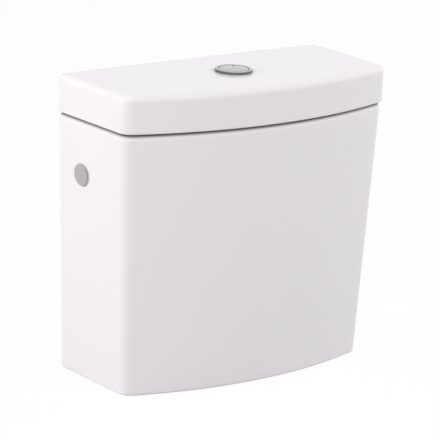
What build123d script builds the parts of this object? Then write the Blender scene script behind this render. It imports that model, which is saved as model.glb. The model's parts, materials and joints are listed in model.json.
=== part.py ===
from build123d import *
import math
import os

# Close-coupled toilet cistern in glazed vitreous china, with its lid, dual flush push button,
# flush valve, side entry fill valve and fixings. Millimetres, +Z up, +Y towards the wall.
# The origin is on the axis of the flush outlet, in the plane of the bottom rim.

os.makedirs("parts", exist_ok=True)

# Tank
TANK_H = 317.5
TANK_TOP_W = 386.0
TANK_BOTTOM_W = 354.0
SIDE_DEPTH_TOP = 137.0
SIDE_DEPTH_BOTTOM = 133.3
BOW_TOP = 35.0
BOW_BOTTOM = 31.0
BACK_Y = 87.0
FRONT_CORNER_R = 14.0
BACK_CORNER_R = 9.0
WALL = 9.0
SKIRT_H = 38.0
FLOOR_T = 11.0
RIM_ROUND = 4.5
RIM_INNER_ROUND = 1.5
FOOT_ROUND = 2.5
INNER_ROUND = 5.0
OUTLET_HOLE_R = 32.0
BOLT_SPACING = 150.0
BOLT_HOLE_R = 6.5
SIDE_HOLE_R = 11.2
SIDE_HOLE_DROP = 66.5
SIDE_HOLE_FROM_BACK = 52.0

# Lid
LID_OVERHANG = 2.0
LID_EXTRA_DEPTH = 2.1
LID_EXTRA_BOW = 0.5
LID_EDGE_H = 45.0
LID_CROWN = 0.7
LID_CORNER_R = 17.0
LID_WALL = 13.0
LID_TOP_T = 9.0
LID_TOP_ROUND = 6.0
LID_FOOT_ROUND = 1.5
LID_HOLE_R = 20.2
LUG_L = 30.0
LUG_T = 7.0
LUG_DROP = 8.0
LUG_GAP = 3.0
LUG_LAP = 6.0
LUG_RISE = 1.0
LUG_SHARES = (-0.16, 0.4)

# Push button
BEZEL_R = 22.8
BEZEL_BORE_R = 18.0
BEZEL_H = 2.8
BEZEL_ROUND = 1.3
SLEEVE_R = 19.6
SLEEVE_L = 30.0
SLEEVE_PLATE_T = 2.5
ROD_HOLE_GAP = 1.0
GASKET_T = 0.6
GASKET_MARGIN = 0.6
BEZEL_NUT_R = 29.0
BEZEL_NUT_H = 8.0
BEZEL_NUT_NOTCH_R = 4.0
BEZEL_NUT_NOTCHES = 8
BUTTON_GAP = 0.3
BUTTON_H = 12.5
BUTTON_SKIN = 1.5
BUTTON_TOP_T = 2.0
BUTTON_DOME = 0.7
BUTTON_SINK = 0.3
BUTTON_EDGE_ROUND = 0.5
SPLIT_R = 18.0
SPLIT_X = 4.0
SPLIT_GAP = 0.6
BOSS_DROP = 9.0
SOCKET_L = 6.0
ROD_R = 2.4
ROD_FIT = 0.05
FULL_ROD_X = -8.0
HALF_ROD_X = 10.4
ROD_Y = 6.0
PRESS_TRAVEL = 8.0
SPRING_R = 3.6
SPRING_WIRE = 0.9
SPRING_TURNS = 4
SPRING_START_SHARE = 0.75
SPRING_SEAT_GAP = 0.05
QUARTERS = 4

# Flush valve
TAIL_R = 29.8
TAIL_BORE_R = 26.0
TAIL_TIP_Z = 3.0
TAIL_CHAMFER = 1.0
RELIEF_W = 1.2
RELIEF_DEPTH = 0.7
BASE_FLANGE_R = 42.0
BASE_FLANGE_T = 4.0
BASE_SEAL_T = 4.0
BASE_SEAL_MARGIN = 1.0
SEAT_LIP_R = 27.0
SEAT_BORE_R = 24.0
SEAT_LIP_H = 3.0
BASE_LEG_H = 17.0
BASE_RING_R = 38.0
BASE_RING_IN_R = 31.0
BASE_RING_H = 6.0
LEG_W = 9.0
LEG_T = 5.0
LEG_COUNT = 4
BACK_NUT_R = 41.0
BACK_NUT_H = 12.0
BACK_NUT_NOTCH_R = 4.0
BACK_NUT_NOTCHES = 8
PAN_SEAL_R = 52.0
PAN_SEAL_FOOT_R = 46.0
PAN_SEAL_BORE_R = 31.5
PAN_SEAL_Z = 2.0
TOWER_TOP_Z = 244.0
TOWER_RING_H = 6.0
TOWER_GUIDE_DROP = 76.0
TOWER_GUIDE_T = 4.0
GUIDE_GAP = 0.3
BRACKET_T = 5.0
TUBE_R = 14.0
TUBE_BORE_R = 12.0
TUBE_TIP_RISE = 1.0
TUBE_TOP_DROP = 12.0
TUBE_FLANGE_R = 23.0
TUBE_FLANGE_T = 3.0
SEAL_R = 29.0
SEAL_T = 3.0
SOFT_GAP = 0.3
CLAMP_R = 20.0
CLAMP_H = 5.0
FLOAT_R = 27.0
FLOAT_H = 42.0
FLOAT_ROOM = 14.0
FLOAT_ROUND = 1.5
YOKE_RING_R = 18.5
YOKE_RING_H = 7.0
YOKE_TOP_DROP = 5.0

# Rockers
ROCKER_RISE = 13.0
ROCKER_ARM = 22.0
ROCKER_W = 6.0
ROCKER_T = 5.0
ROCKER_HUB_R = 4.5
ROCKER_END = 3.5
PIN_R = 2.0
PIN_FIT = 0.05
EAR_T = 3.0
EAR_GAP = 0.6
EAR_HALF_L = 6.0
TOUCH_GAP = 0.5
HOOK_GAP = 2.5
HOOK_T = 4.0
HOOK_LAP = 4.0
HALF_FLOAT_W = 22.0
HALF_FLOAT_D = 26.0
HALF_FLOAT_H = 38.0
HALF_FLOAT_ROOM = 6.0
SLIDER_W = 6.0
GUIDE_ARM_T = 8.0
GUIDE_ARM_DROP = 39.0
GUIDE_RIM = 3.0

# Fill valve
THREAD_R = 10.4
SHANK_OUT = 22.0
SHANK_BORE_R = 7.0
SHANK_NECK_R = 9.0
FLANGE_AF = 32.0
FLANGE_T = 4.0
INLET_WASHER_R = 16.5
INLET_WASHER_T = 3.0
INLET_NUT_AF = 30.0
INLET_NUT_H = 8.0
FILL_ROOM = 32.6
FILL_R = 12.0
FILL_BELOW = 17.0
FILL_HEAD_R = 15.0
FILL_HEAD_H = 11.0
FILL_ABOVE = 22.0
CHAMBER_R = 11.0
CHAMBER_DEPTH = 4.0
SPIGOT_R = 5.4
SPIGOT_L = 10.0
DIAPHRAGM_T = 2.5
CAP_R = 17.0
CAP_H = 9.0
CAP_SKIRT = 6.0
FORK_H = 17.0
FORK_W = 12.0
FORK_T = 3.0
PIVOT_OFFSET = 6.0
PIVOT_RISE = 11.0
LEVER_L = 58.0
LEVER_W = 7.0
LEVER_T = 6.0
LEVER_HUB_R = 5.0
LEVER_EYE_R = 6.0
FORK_GAP = 0.5
DROOP_ANGLE = 15.0
ADJUSTER_R = 2.5
ADJUSTER_HEAD_R = 5.0
ADJUSTER_HEAD_H = 4.0
ADJUSTER_L = 62.0
FILL_FLOAT_R = 20.0
FILL_FLOAT_H = 40.0
FILL_FLOAT_ROUND = 4.0
FILL_TUBE_R = 7.0
FILL_TUBE_BORE_R = 5.5
FILL_TUBE_TIP_RISE = 23.0
FILTER_GAP = 0.3
FILTER_L = 16.0
FILTER_WALL = 1.0
FILTER_RIM = 0.6
FILTER_SLOT_W = 1.2
FILTER_SLOTS = 6

# Blanking plug
PLUG_R = 13.4
PLUG_CAP_T = 2.4
PLUG_EDGE_ROUND = 1.0
PLUG_STEM_R = 9.8
PLUG_STEM_L = 26.0
PLUG_BORE_R = 6.5
PLUG_WASHER_R = 15.0
PLUG_WASHER_T = 2.5
PLUG_NUT_AF = 28.0
PLUG_NUT_H = 7.0

# Coupling bolts
BOLT_R = 4.0
BOLT_HEAD_R = 8.0
BOLT_HEAD_H = 4.0
BOLT_HEAD_ROUND = 1.5
BOLT_TIP_Z = 0.0
BOLT_FIT = 0.05
CONE_R = 12.5
CONE_H = 5.0
CONE_SPIGOT = 6.0
CONE_GAP = 0.3
PLATE_R = 12.0
PLATE_T = 1.5
LOCK_NUT_AF = 13.0
LOCK_NUT_H = 6.5

CUT = 1.0
HEX_SIDE_COUNT = 6

FLOOR_Z = SKIRT_H + FLOOR_T
SIDE_HOLE_Y = BACK_Y - SIDE_HOLE_FROM_BACK
SIDE_HOLE_Z = TANK_H - SIDE_HOLE_DROP
LID_W = TANK_TOP_W + 2 * LID_OVERHANG
LID_SIDE_DEPTH = SIDE_DEPTH_TOP + LID_EXTRA_DEPTH
LID_BOW = BOW_TOP + LID_EXTRA_BOW
LID_TOP_Z = TANK_H + LID_EDGE_H + LID_CROWN
LID_UNDER_Z = TANK_H + LID_EDGE_H - LID_TOP_T
LEAN = (TANK_TOP_W - TANK_BOTTOM_W) / 2 / TANK_H
WALL_NORMAL_T = WALL / math.hypot(LEAN, 1)


def rod(radius, low, high, x=0, y=0):
    """Upright cylinder between two heights."""
    return Pos(x, y, (low + high) / 2) * Cylinder(radius, high - low)


def tube(radius, bore, low, high, x=0, y=0):
    """Upright tube between two heights."""
    return rod(radius, low, high, x, y) - rod(bore, low - CUT, high + CUT, x, y)


def block(x, y, z):
    """Box between the two values that each axis is given."""
    centre = Pos((x[0] + x[1]) / 2, (y[0] + y[1]) / 2, (z[0] + z[1]) / 2)
    return centre * Box(abs(x[1] - x[0]), abs(y[1] - y[0]), abs(z[1] - z[0]))


def hexagon(across_flats, low, high, x=0, y=0):
    """Upright hexagonal prism between two heights."""
    face = RegularPolygon(across_flats / 2, HEX_SIDE_COUNT, major_radius=False)
    return Pos(x, y, low) * extrude(face, high - low)


def cross_pin(radius, x, z, y_low, y_high):
    """Cylinder along Y."""
    place = Plane(origin=(x, y_low, z), x_dir=(1, 0, 0), z_dir=(0, 1, 0))
    return place.location * rod(radius, 0, y_high - y_low)


def bowed_plan(z, width, side_depth, bow, inset, front_r, back_r):
    """Plan outline with a flat back, straight sides and a bowed front, drawn in by inset."""
    bow_r = ((width / 2) ** 2 + bow ** 2) / (2 * bow)
    centre_y = BACK_Y - side_depth - bow + bow_r
    half = width / 2 - inset
    arc_r = bow_r - inset
    corner_y = centre_y - math.sqrt(arc_r ** 2 - half ** 2)
    back = BACK_Y - inset
    sides = Polyline((half, corner_y), (half, back), (-half, back), (-half, corner_y))
    front = ThreePointArc((-half, corner_y), (0, centre_y - arc_r), (half, corner_y))
    face = make_face(sides + front)
    face = fillet(face.vertices().sort_by(Axis.Y)[:2], front_r)
    face = fillet(face.vertices().sort_by(Axis.Y)[-2:], back_r)
    return Pos(0, 0, z) * face


def between(low, high, share):
    return low + (high - low) * share


def tank_half_width(z):
    return between(TANK_BOTTOM_W, TANK_TOP_W, z / TANK_H) / 2


def tank_plan(z, inset):
    share = z / TANK_H
    width = between(TANK_BOTTOM_W, TANK_TOP_W, share)
    depth = between(SIDE_DEPTH_BOTTOM, SIDE_DEPTH_TOP, share)
    bow = between(BOW_BOTTOM, BOW_TOP, share)
    inner = 1 - inset / (FRONT_CORNER_R + BACK_CORNER_R)
    return bowed_plan(z, width, depth, bow, inset, FRONT_CORNER_R * inner, BACK_CORNER_R * inner)


def tank_loft(low, high, inset):
    return loft([tank_plan(low, inset), tank_plan(high, inset)], ruled=True)


def lid_prism(low, high, inset):
    inner = 1 - inset / (LID_CORNER_R + BACK_CORNER_R)
    front_r = LID_CORNER_R * inner
    back_r = BACK_CORNER_R * inner
    face = bowed_plan(low, LID_W, LID_SIDE_DEPTH, LID_BOW, inset, front_r, back_r)
    return extrude(face, high - low)


def on_side(sign, part):
    """Stand a part on the leaning side wall: its z = 0 is the outer face, +z points outwards."""
    x = sign * tank_half_width(SIDE_HOLE_Z)
    place = Plane(origin=(x, SIDE_HOLE_Y, SIDE_HOLE_Z), x_dir=(0, 1, 0), z_dir=(sign, 0, -LEAN))
    return place.location * part


def make_tank():
    body = tank_loft(0, TANK_H, 0)
    body = fillet(body.faces().sort_by(Axis.Z)[-1].edges(), RIM_ROUND)
    body = fillet(body.faces().sort_by(Axis.Z)[0].edges(), FOOT_ROUND)
    water = tank_loft(FLOOR_Z, TANK_H + CUT, WALL)
    water = fillet(water.faces().sort_by(Axis.Z)[0].edges(), INNER_ROUND)
    recess = tank_loft(-CUT, SKIRT_H, WALL)
    recess = fillet(recess.faces().sort_by(Axis.Z)[-1].edges(), INNER_ROUND)
    body = body - water - recess
    body = fillet(body.faces().sort_by(Axis.Z)[-1].inner_wires()[0].edges(), RIM_INNER_ROUND)
    body -= rod(OUTLET_HOLE_R, SKIRT_H - CUT, FLOOR_Z + CUT)
    for side in (-1, 1):
        body -= rod(BOLT_HOLE_R, SKIRT_H - CUT, FLOOR_Z + CUT, side * BOLT_SPACING / 2)
        body -= on_side(side, rod(SIDE_HOLE_R, -WALL - CUT, CUT))
    return body


def make_lid():
    width = LID_W + CUT
    crown_r = ((LID_W / 2) ** 2 + LID_CROWN ** 2) / (2 * LID_CROWN)
    dome = cross_pin(crown_r, 0, LID_TOP_Z - crown_r, -width, width)
    body = lid_prism(TANK_H, LID_TOP_Z + CUT, 0) & dome
    body = fillet(body.faces().sort_by(Axis.Z)[-1].edges(), LID_TOP_ROUND)
    body = fillet(body.faces().sort_by(Axis.Z)[0].edges(), LID_FOOT_ROUND)
    hollow = lid_prism(TANK_H - CUT, LID_UNDER_Z, LID_WALL)
    hollow = fillet(hollow.faces().sort_by(Axis.Z)[-1].edges(), INNER_ROUND)
    body -= hollow
    outer = TANK_TOP_W / 2 - WALL - LUG_GAP
    for side in (-1, 1):
        for share in LUG_SHARES:
            middle = share * SIDE_DEPTH_TOP
            y = (middle - LUG_L / 2, middle + LUG_L / 2)
            inner_x = side * (outer - LUG_T)
            body += block((side * outer, inner_x), y, (TANK_H - LUG_DROP, TANK_H + LUG_LAP))
            body += block((side * (outer + LUG_LAP), inner_x), y, (TANK_H + LUG_RISE, TANK_H + LUG_LAP))
    body -= rod(LID_HOLE_R, LID_UNDER_Z - CUT, LID_TOP_Z + CUT)
    return body


BEZEL_Z = LID_TOP_Z + GASKET_T
BEZEL_TOP_Z = BEZEL_Z + BEZEL_H
SLEEVE_Z = LID_TOP_Z - SLEEVE_L
PLATE_Z = SLEEVE_Z + SLEEVE_PLATE_T
BUTTON_R = BEZEL_BORE_R - BUTTON_GAP
BUTTON_TOP_Z = BEZEL_TOP_Z - BUTTON_SINK
BUTTON_LOW_Z = BUTTON_TOP_Z - BUTTON_H
BOSS_Z = BUTTON_TOP_Z - BUTTON_TOP_T - BOSS_DROP
BOSS_R = SPRING_R + SPRING_WIRE / 2
BRACKET_Z = TOWER_TOP_Z + BRACKET_T
ROCKER_Z = BRACKET_Z + ROCKER_RISE
ROD_PLACES = {"full": (FULL_ROD_X, -ROD_Y), "half": (HALF_ROD_X, ROD_Y)}


def make_bezel():
    ring = tube(BEZEL_R, BEZEL_BORE_R, BEZEL_Z, BEZEL_TOP_Z)
    ring = fillet(ring.edges().group_by(Axis.Z)[-1], BEZEL_ROUND)
    body = ring + tube(SLEEVE_R, BEZEL_BORE_R, SLEEVE_Z, BEZEL_Z + BEZEL_ROUND / 2)
    body += rod(BEZEL_BORE_R + ROD_FIT, SLEEVE_Z, PLATE_Z)
    for x, y in ROD_PLACES.values():
        body -= rod(ROD_R + ROD_HOLE_GAP, SLEEVE_Z - CUT, PLATE_Z + CUT, x, y)
    return body


def make_bezel_gasket():
    return tube(BEZEL_R - GASKET_MARGIN, LID_HOLE_R, LID_TOP_Z, BEZEL_Z)


def make_bezel_nut():
    low = LID_UNDER_Z - BEZEL_NUT_H
    body = rod(BEZEL_NUT_R, low, LID_UNDER_Z)
    for turn in range(BEZEL_NUT_NOTCHES):
        notch = rod(BEZEL_NUT_NOTCH_R, low - CUT, LID_UNDER_Z + CUT, BEZEL_NUT_R + BEZEL_NUT_NOTCH_R / 2)
        body -= Rot(0, 0, turn * 360 / BEZEL_NUT_NOTCHES) * notch
    return body - rod(SLEEVE_R + ROD_FIT, low - CUT, LID_UNDER_Z + CUT)


def button_region(which, inset, low, high):
    """The half of the button's round plan on its own side of the curved split."""
    disc = rod(BUTTON_R - inset, low, high)
    split_x = SPLIT_X + SPLIT_R
    if which == "full":
        return disc - rod(SPLIT_R + SPLIT_GAP + inset, low - CUT, high + CUT, split_x)
    return disc & rod(SPLIT_R - inset, low - CUT, high + CUT, split_x)


def make_button(which):
    x, y = ROD_PLACES[which]
    dome_r = (BUTTON_R ** 2 + BUTTON_DOME ** 2) / (2 * BUTTON_DOME)
    dome = Pos(0, 0, BUTTON_TOP_Z + BUTTON_DOME - dome_r) * Sphere(dome_r)
    body = button_region(which, 0, BUTTON_LOW_Z, BUTTON_TOP_Z + BUTTON_DOME + CUT) & dome
    body = fillet(body.faces().sort_by(Axis.Z)[-1].edges(), BUTTON_EDGE_ROUND)
    body -= button_region(which, BUTTON_SKIN, BUTTON_LOW_Z - CUT, BUTTON_TOP_Z - BUTTON_TOP_T)
    body += rod(BOSS_R, BOSS_Z, BUTTON_TOP_Z - BUTTON_TOP_T / 2, x, y)
    return body - rod(ROD_R + ROD_FIT, BOSS_Z - CUT, BOSS_Z + SOCKET_L, x, y)


def make_push_rod(which):
    x, y = ROD_PLACES[which]
    tip = ROCKER_Z + ROCKER_T / 2 + TOUCH_GAP
    body = rod(ROD_R, tip + ROD_R, BOSS_Z + SOCKET_L, x, y)
    return body + Pos(x, y, tip + ROD_R) * Sphere(ROD_R)


def biarc(start, start_dir, end, end_dir):
    """Two arcs that leave start along start_dir and reach end along end_dir."""
    chord = end - start
    both = start_dir + end_dir
    a = 4 - both.dot(both)
    b = 2 * chord.dot(both)
    reach = (math.sqrt(b * b + 4 * a * chord.dot(chord)) - b) / (2 * a)
    first = start + start_dir * reach
    last = end - end_dir * reach
    joint = (first + last) * 0.5
    along = (last - first).normalized()
    return [Edge.make_tangent_arc(start, start_dir, joint), Edge.make_tangent_arc(joint, along, end)]


def make_spring(which):
    """Compression spring: quarter turns as biarcs, with straight ends square to their seats."""
    x, y = ROD_PLACES[which]
    up = Vector(0, 0, 1)
    turn_in = 2 * SPRING_WIRE
    low = PLATE_Z + SPRING_SEAT_GAP
    high = BOSS_Z - SPRING_SEAT_GAP
    start_z = low + SPRING_WIRE + turn_in
    rise = high - low - 2 * (SPRING_WIRE + turn_in)
    steps = SPRING_TURNS * QUARTERS
    slope = rise / (SPRING_TURNS * 2 * math.pi * SPRING_R)
    points = []
    tangents = []
    for step in range(steps + 1):
        angle = 2 * math.pi * (step / QUARTERS + SPRING_START_SHARE)
        points.append(Vector(x + SPRING_R * math.cos(angle), y + SPRING_R * math.sin(angle),
                             start_z + rise * step / steps))
        tangents.append(Vector(-math.sin(angle), math.cos(angle), slope).normalized())
    flat_in = Vector(tangents[0].X, tangents[0].Y, 0).normalized()
    flat_out = Vector(tangents[-1].X, tangents[-1].Y, 0).normalized()
    foot = points[0] - flat_in * turn_in - up * turn_in
    head = points[-1] + flat_out * turn_in + up * turn_in
    edges = [Edge.make_line(foot - up * SPRING_WIRE, foot)]
    edges += biarc(foot, up, points[0], tangents[0])
    for step in range(steps):
        edges += biarc(points[step], tangents[step], points[step + 1], tangents[step + 1])
    edges += biarc(points[-1], tangents[-1], head, up)
    edges.append(Edge.make_line(head, head + up * SPRING_WIRE))
    print(which, "spring gap between turns", round(rise / SPRING_TURNS - SPRING_WIRE, 2))
    section = Pos(foot.X, foot.Y, foot.Z - SPRING_WIRE) * Circle(SPRING_WIRE / 2)
    return sweep(section, path=Wire(edges))


BASE_Z = FLOOR_Z + BASE_SEAL_T
SEAT_Z = BASE_Z + BASE_FLANGE_T + SEAT_LIP_H
BASE_RING_Z = BASE_Z + BASE_FLANGE_T + BASE_LEG_H
TOWER_Z = BASE_RING_Z + BASE_RING_H
SEAL_Z = SEAT_Z + SOFT_GAP
POST_R = (BASE_RING_R + BASE_RING_IN_R) / 2
TOWER_GUIDE_Z = TOWER_TOP_Z - TOWER_GUIDE_DROP
GUIDE_ARM_Z = TOWER_TOP_Z - GUIDE_ARM_DROP
TUBE_TIP_Z = FLOOR_Z + TUBE_TIP_RISE
TUBE_TOP_Z = TOWER_TOP_Z - TUBE_TOP_DROP
FLOAT_Z = TOWER_GUIDE_Z - PRESS_TRAVEL - FLOAT_ROOM - FLOAT_H
HALF_FLOAT_Z = TOWER_GUIDE_Z - PRESS_TRAVEL - HALF_FLOAT_ROOM - HALF_FLOAT_H


def post_ring(low, high):
    """Upright posts round the valve axis, on the diagonals."""
    posts = []
    for turn in range(LEG_COUNT):
        post = block((POST_R - LEG_T / 2, POST_R + LEG_T / 2), (-LEG_W / 2, LEG_W / 2), (low, high))
        posts.append(Rot(0, 0, (turn + 0.5) * 360 / LEG_COUNT) * post)
    return posts


def make_flush_valve_base():
    body = tube(TAIL_R, TAIL_BORE_R, TAIL_TIP_Z, BASE_Z + CUT)
    body = chamfer(body.edges().group_by(Axis.Z)[0].sort_by(SortBy.LENGTH)[-1], TAIL_CHAMFER)
    relief = SKIRT_H - BACK_NUT_H - RELIEF_W
    body -= tube(TAIL_R + CUT, TAIL_R - RELIEF_DEPTH, relief, relief + RELIEF_W)
    body += tube(BASE_FLANGE_R, TAIL_BORE_R, BASE_Z, BASE_Z + BASE_FLANGE_T)
    body += tube(SEAT_LIP_R, SEAT_BORE_R, BASE_Z, SEAT_Z)
    body += tube(BASE_RING_R, BASE_RING_IN_R, BASE_RING_Z, TOWER_Z)
    for post in post_ring(BASE_Z + CUT, TOWER_Z - CUT):
        body += post
    return body


def make_base_seal():
    return tube(BASE_FLANGE_R - BASE_SEAL_MARGIN, TAIL_R + SOFT_GAP, FLOOR_Z, BASE_Z)


def make_back_nut():
    low = SKIRT_H - BACK_NUT_H
    body = rod(BACK_NUT_R, low, SKIRT_H)
    for turn in range(BACK_NUT_NOTCHES):
        notch = rod(BACK_NUT_NOTCH_R, low - CUT, SKIRT_H + CUT, BACK_NUT_R + BACK_NUT_NOTCH_R / 2)
        body -= Rot(0, 0, turn * 360 / BACK_NUT_NOTCHES) * notch
    return body - rod(TAIL_R + ROD_FIT, low - CUT, SKIRT_H + CUT)


def make_pan_seal():
    high = SKIRT_H - BACK_NUT_H
    half_z = (PAN_SEAL_Z + high) / 2
    wide = rod(PAN_SEAL_R, half_z, high)
    narrow = Pos(0, 0, (PAN_SEAL_Z + half_z) / 2) * Cone(PAN_SEAL_FOOT_R, PAN_SEAL_R, half_z - PAN_SEAL_Z)
    return wide + narrow - rod(PAN_SEAL_BORE_R, PAN_SEAL_Z - CUT, high + CUT)


FULL_PIVOT_X = FULL_ROD_X + ROCKER_ARM
HALF_PIVOT_X = HALF_ROD_X - ROCKER_ARM
FULL_NOSE_X = FULL_PIVOT_X + ROCKER_ARM
HALF_NOSE_X = HALF_PIVOT_X - ROCKER_ARM
HOOK_Z = ROCKER_Z + ROCKER_T / 2 + TOUCH_GAP
FULL_HOOK_X = FULL_NOSE_X + ROCKER_T / 2 + HOOK_GAP
HALF_HOOK_X = HALF_NOSE_X - ROCKER_T / 2 - HOOK_GAP
GUIDE_BORE_R = TUBE_R + GUIDE_GAP


def make_tower():
    body = tube(BASE_RING_R, BASE_RING_IN_R, TOWER_Z, TOWER_Z + TOWER_RING_H)
    for post in post_ring(TOWER_Z, TOWER_TOP_Z):
        body += post
    body += tube(BASE_RING_R, GUIDE_BORE_R, TOWER_GUIDE_Z, TOWER_GUIDE_Z + TOWER_GUIDE_T)
    body += tube(BASE_RING_R, YOKE_RING_R + GUIDE_GAP, TOWER_TOP_Z - TOWER_RING_H, TOWER_TOP_Z)
    rim_x = HALF_HOOK_X - HOOK_T - GUIDE_GAP - GUIDE_RIM
    rim_y = ROD_Y + SLIDER_W / 2 + GUIDE_GAP + GUIDE_RIM
    inner_y = ROD_Y - SLIDER_W / 2 - GUIDE_GAP - GUIDE_RIM
    arm_z = (GUIDE_ARM_Z, GUIDE_ARM_Z + GUIDE_ARM_T)
    body += tube(BASE_RING_R, BASE_RING_IN_R, arm_z[0], arm_z[1])
    body += block((rim_x, -POST_R), (inner_y, rim_y), arm_z)
    slot_x = (HALF_HOOK_X - HOOK_T - GUIDE_GAP, HALF_HOOK_X + GUIDE_GAP)
    slot_y = (ROD_Y - SLIDER_W / 2 - GUIDE_GAP, ROD_Y + SLIDER_W / 2 + GUIDE_GAP)
    body -= block(slot_x, slot_y, (arm_z[0] - CUT, arm_z[1] + CUT))
    return body


def make_rocker_bracket():
    """Deck on the tower with a middle wall and an outer ear for each rocker pin."""
    body = rod(BASE_RING_R, TOWER_TOP_Z, BRACKET_Z)
    ear_top = ROCKER_Z + EAR_HALF_L
    outer = ROD_Y + ROCKER_W / 2 + EAR_GAP
    middle = ROD_Y - ROCKER_W / 2 - EAR_GAP
    span = (HALF_PIVOT_X - EAR_HALF_L, FULL_PIVOT_X + EAR_HALF_L)
    body += block(span, (-middle, middle), (TOWER_TOP_Z, ear_top))
    for pivot, side in ((FULL_PIVOT_X, -1), (HALF_PIVOT_X, 1)):
        wide = (pivot - EAR_HALF_L, pivot + EAR_HALF_L)
        body += block(wide, (side * outer, side * (outer + EAR_T)), (TOWER_TOP_Z, ear_top))
    for pivot, side in ((FULL_PIVOT_X, -1), (HALF_PIVOT_X, 1)):
        ends = sorted((side * (outer + EAR_T + CUT), -side * (middle + CUT)))
        body -= cross_pin(PIN_R + PIN_FIT / 2, pivot, ROCKER_Z, ends[0], ends[1])
    return body


def make_rocker_pins():
    outer = ROD_Y + ROCKER_W / 2 + EAR_GAP + EAR_T
    middle = ROD_Y - ROCKER_W / 2 - EAR_GAP
    full = cross_pin(PIN_R, FULL_PIVOT_X, ROCKER_Z, -outer, middle)
    half = cross_pin(PIN_R, HALF_PIVOT_X, ROCKER_Z, -middle, outer)
    return Compound(children=[full, half])


def make_rocker(which):
    pivot = FULL_PIVOT_X if which == "full" else HALF_PIVOT_X
    nose = FULL_NOSE_X if which == "full" else HALF_NOSE_X
    rod_x, rod_y = ROD_PLACES[which]
    outward = 1 if nose < pivot else -1
    y = (rod_y - ROCKER_W / 2, rod_y + ROCKER_W / 2)
    z = (ROCKER_Z - ROCKER_T / 2, ROCKER_Z + ROCKER_T / 2)
    body = block((nose, rod_x + outward * ROCKER_END), y, z)
    body += cross_pin(ROCKER_T / 2, nose, ROCKER_Z, y[0], y[1])
    body += cross_pin(ROCKER_HUB_R, pivot, ROCKER_Z, y[0], y[1])
    return body - cross_pin(PIN_R + PIN_FIT, pivot, ROCKER_Z, y[0] - CUT, y[1] + CUT)


def make_overflow_tube():
    body = tube(TUBE_R, TUBE_BORE_R, TUBE_TIP_Z, TUBE_TOP_Z)
    return body + tube(TUBE_FLANGE_R, TUBE_BORE_R, SEAL_Z + SEAL_T, SEAL_Z + SEAL_T + TUBE_FLANGE_T)


def make_flush_seal():
    return tube(SEAL_R, TUBE_R + ROD_FIT, SEAL_Z, SEAL_Z + SEAL_T)


def make_seal_clamp():
    return tube(CLAMP_R, TUBE_R + ROD_FIT, SEAL_Z - CLAMP_H, SEAL_Z)


def make_full_float():
    body = tube(FLOAT_R, TUBE_R + ROD_FIT, FLOAT_Z, FLOAT_Z + FLOAT_H)
    outer = body.edges().filter_by(lambda edge: edge.length > 2 * math.pi * (FLOAT_R - CUT))
    return fillet(outer, FLOAT_ROUND)


def make_yoke():
    low = TUBE_TOP_Z - YOKE_TOP_DROP - YOKE_RING_H
    high = low + YOKE_RING_H
    outer_x = FULL_HOOK_X + HOOK_T
    y = (-ROD_Y - SLIDER_W / 2, -ROD_Y + SLIDER_W / 2)
    body = tube(YOKE_RING_R, TUBE_R + ROD_FIT, low, high)
    body += block((TUBE_R + CUT, outer_x), y, (low, high))
    body += block((FULL_HOOK_X, outer_x), y, (low, HOOK_Z + HOOK_T))
    body += block((FULL_NOSE_X - HOOK_LAP, outer_x), y, (HOOK_Z, HOOK_Z + HOOK_T))
    return body


def make_half_slider():
    outer_x = HALF_HOOK_X - HOOK_T
    y = (ROD_Y - SLIDER_W / 2, ROD_Y + SLIDER_W / 2)
    body = block((outer_x, HALF_HOOK_X), y, (HALF_FLOAT_Z - HOOK_T, HOOK_Z + HOOK_T))
    body += block((outer_x, HALF_NOSE_X + HOOK_LAP), y, (HOOK_Z, HOOK_Z + HOOK_T))
    return body


def make_half_float():
    middle = HALF_HOOK_X - HOOK_T / 2
    x = (middle - HALF_FLOAT_W + SLIDER_W, middle + SLIDER_W / 2 + HOOK_T / 2)
    y = (ROD_Y - HALF_FLOAT_D / 2, ROD_Y + HALF_FLOAT_D / 2)
    body = block(x, y, (HALF_FLOAT_Z, HALF_FLOAT_Z + HALF_FLOAT_H))
    body = fillet(body.edges().filter_by(Axis.Z), FLOAT_ROUND)
    slot_x = (HALF_HOOK_X - HOOK_T - ROD_FIT, HALF_HOOK_X + ROD_FIT)
    slot_y = (ROD_Y - SLIDER_W / 2 - ROD_FIT, ROD_Y + SLIDER_W / 2 + ROD_FIT)
    return body - block(slot_x, slot_y, (HALF_FLOAT_Z - CUT, HALF_FLOAT_Z + HALF_FLOAT_H + CUT))


SHANK_SEAT = -WALL_NORMAL_T - INLET_WASHER_T
FILL_BOTTOM_Z = SIDE_HOLE_Z - FILL_BELOW
FILL_TOP_Z = SIDE_HOLE_Z + FILL_ABOVE
FILL_TUBE_TIP_Z = FLOOR_Z + FILL_TUBE_TIP_RISE
FILL_X = min(tank_half_width(FILL_TUBE_TIP_Z), tank_half_width(FILL_TOP_Z)) - FILL_ROOM
FILL_REACH = tank_half_width(SIDE_HOLE_Z) - FILL_X
PIVOT_X = FILL_X - PIVOT_OFFSET
PIVOT_Z = FILL_TOP_Z + CAP_H + PIVOT_RISE - CAP_SKIRT


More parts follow.
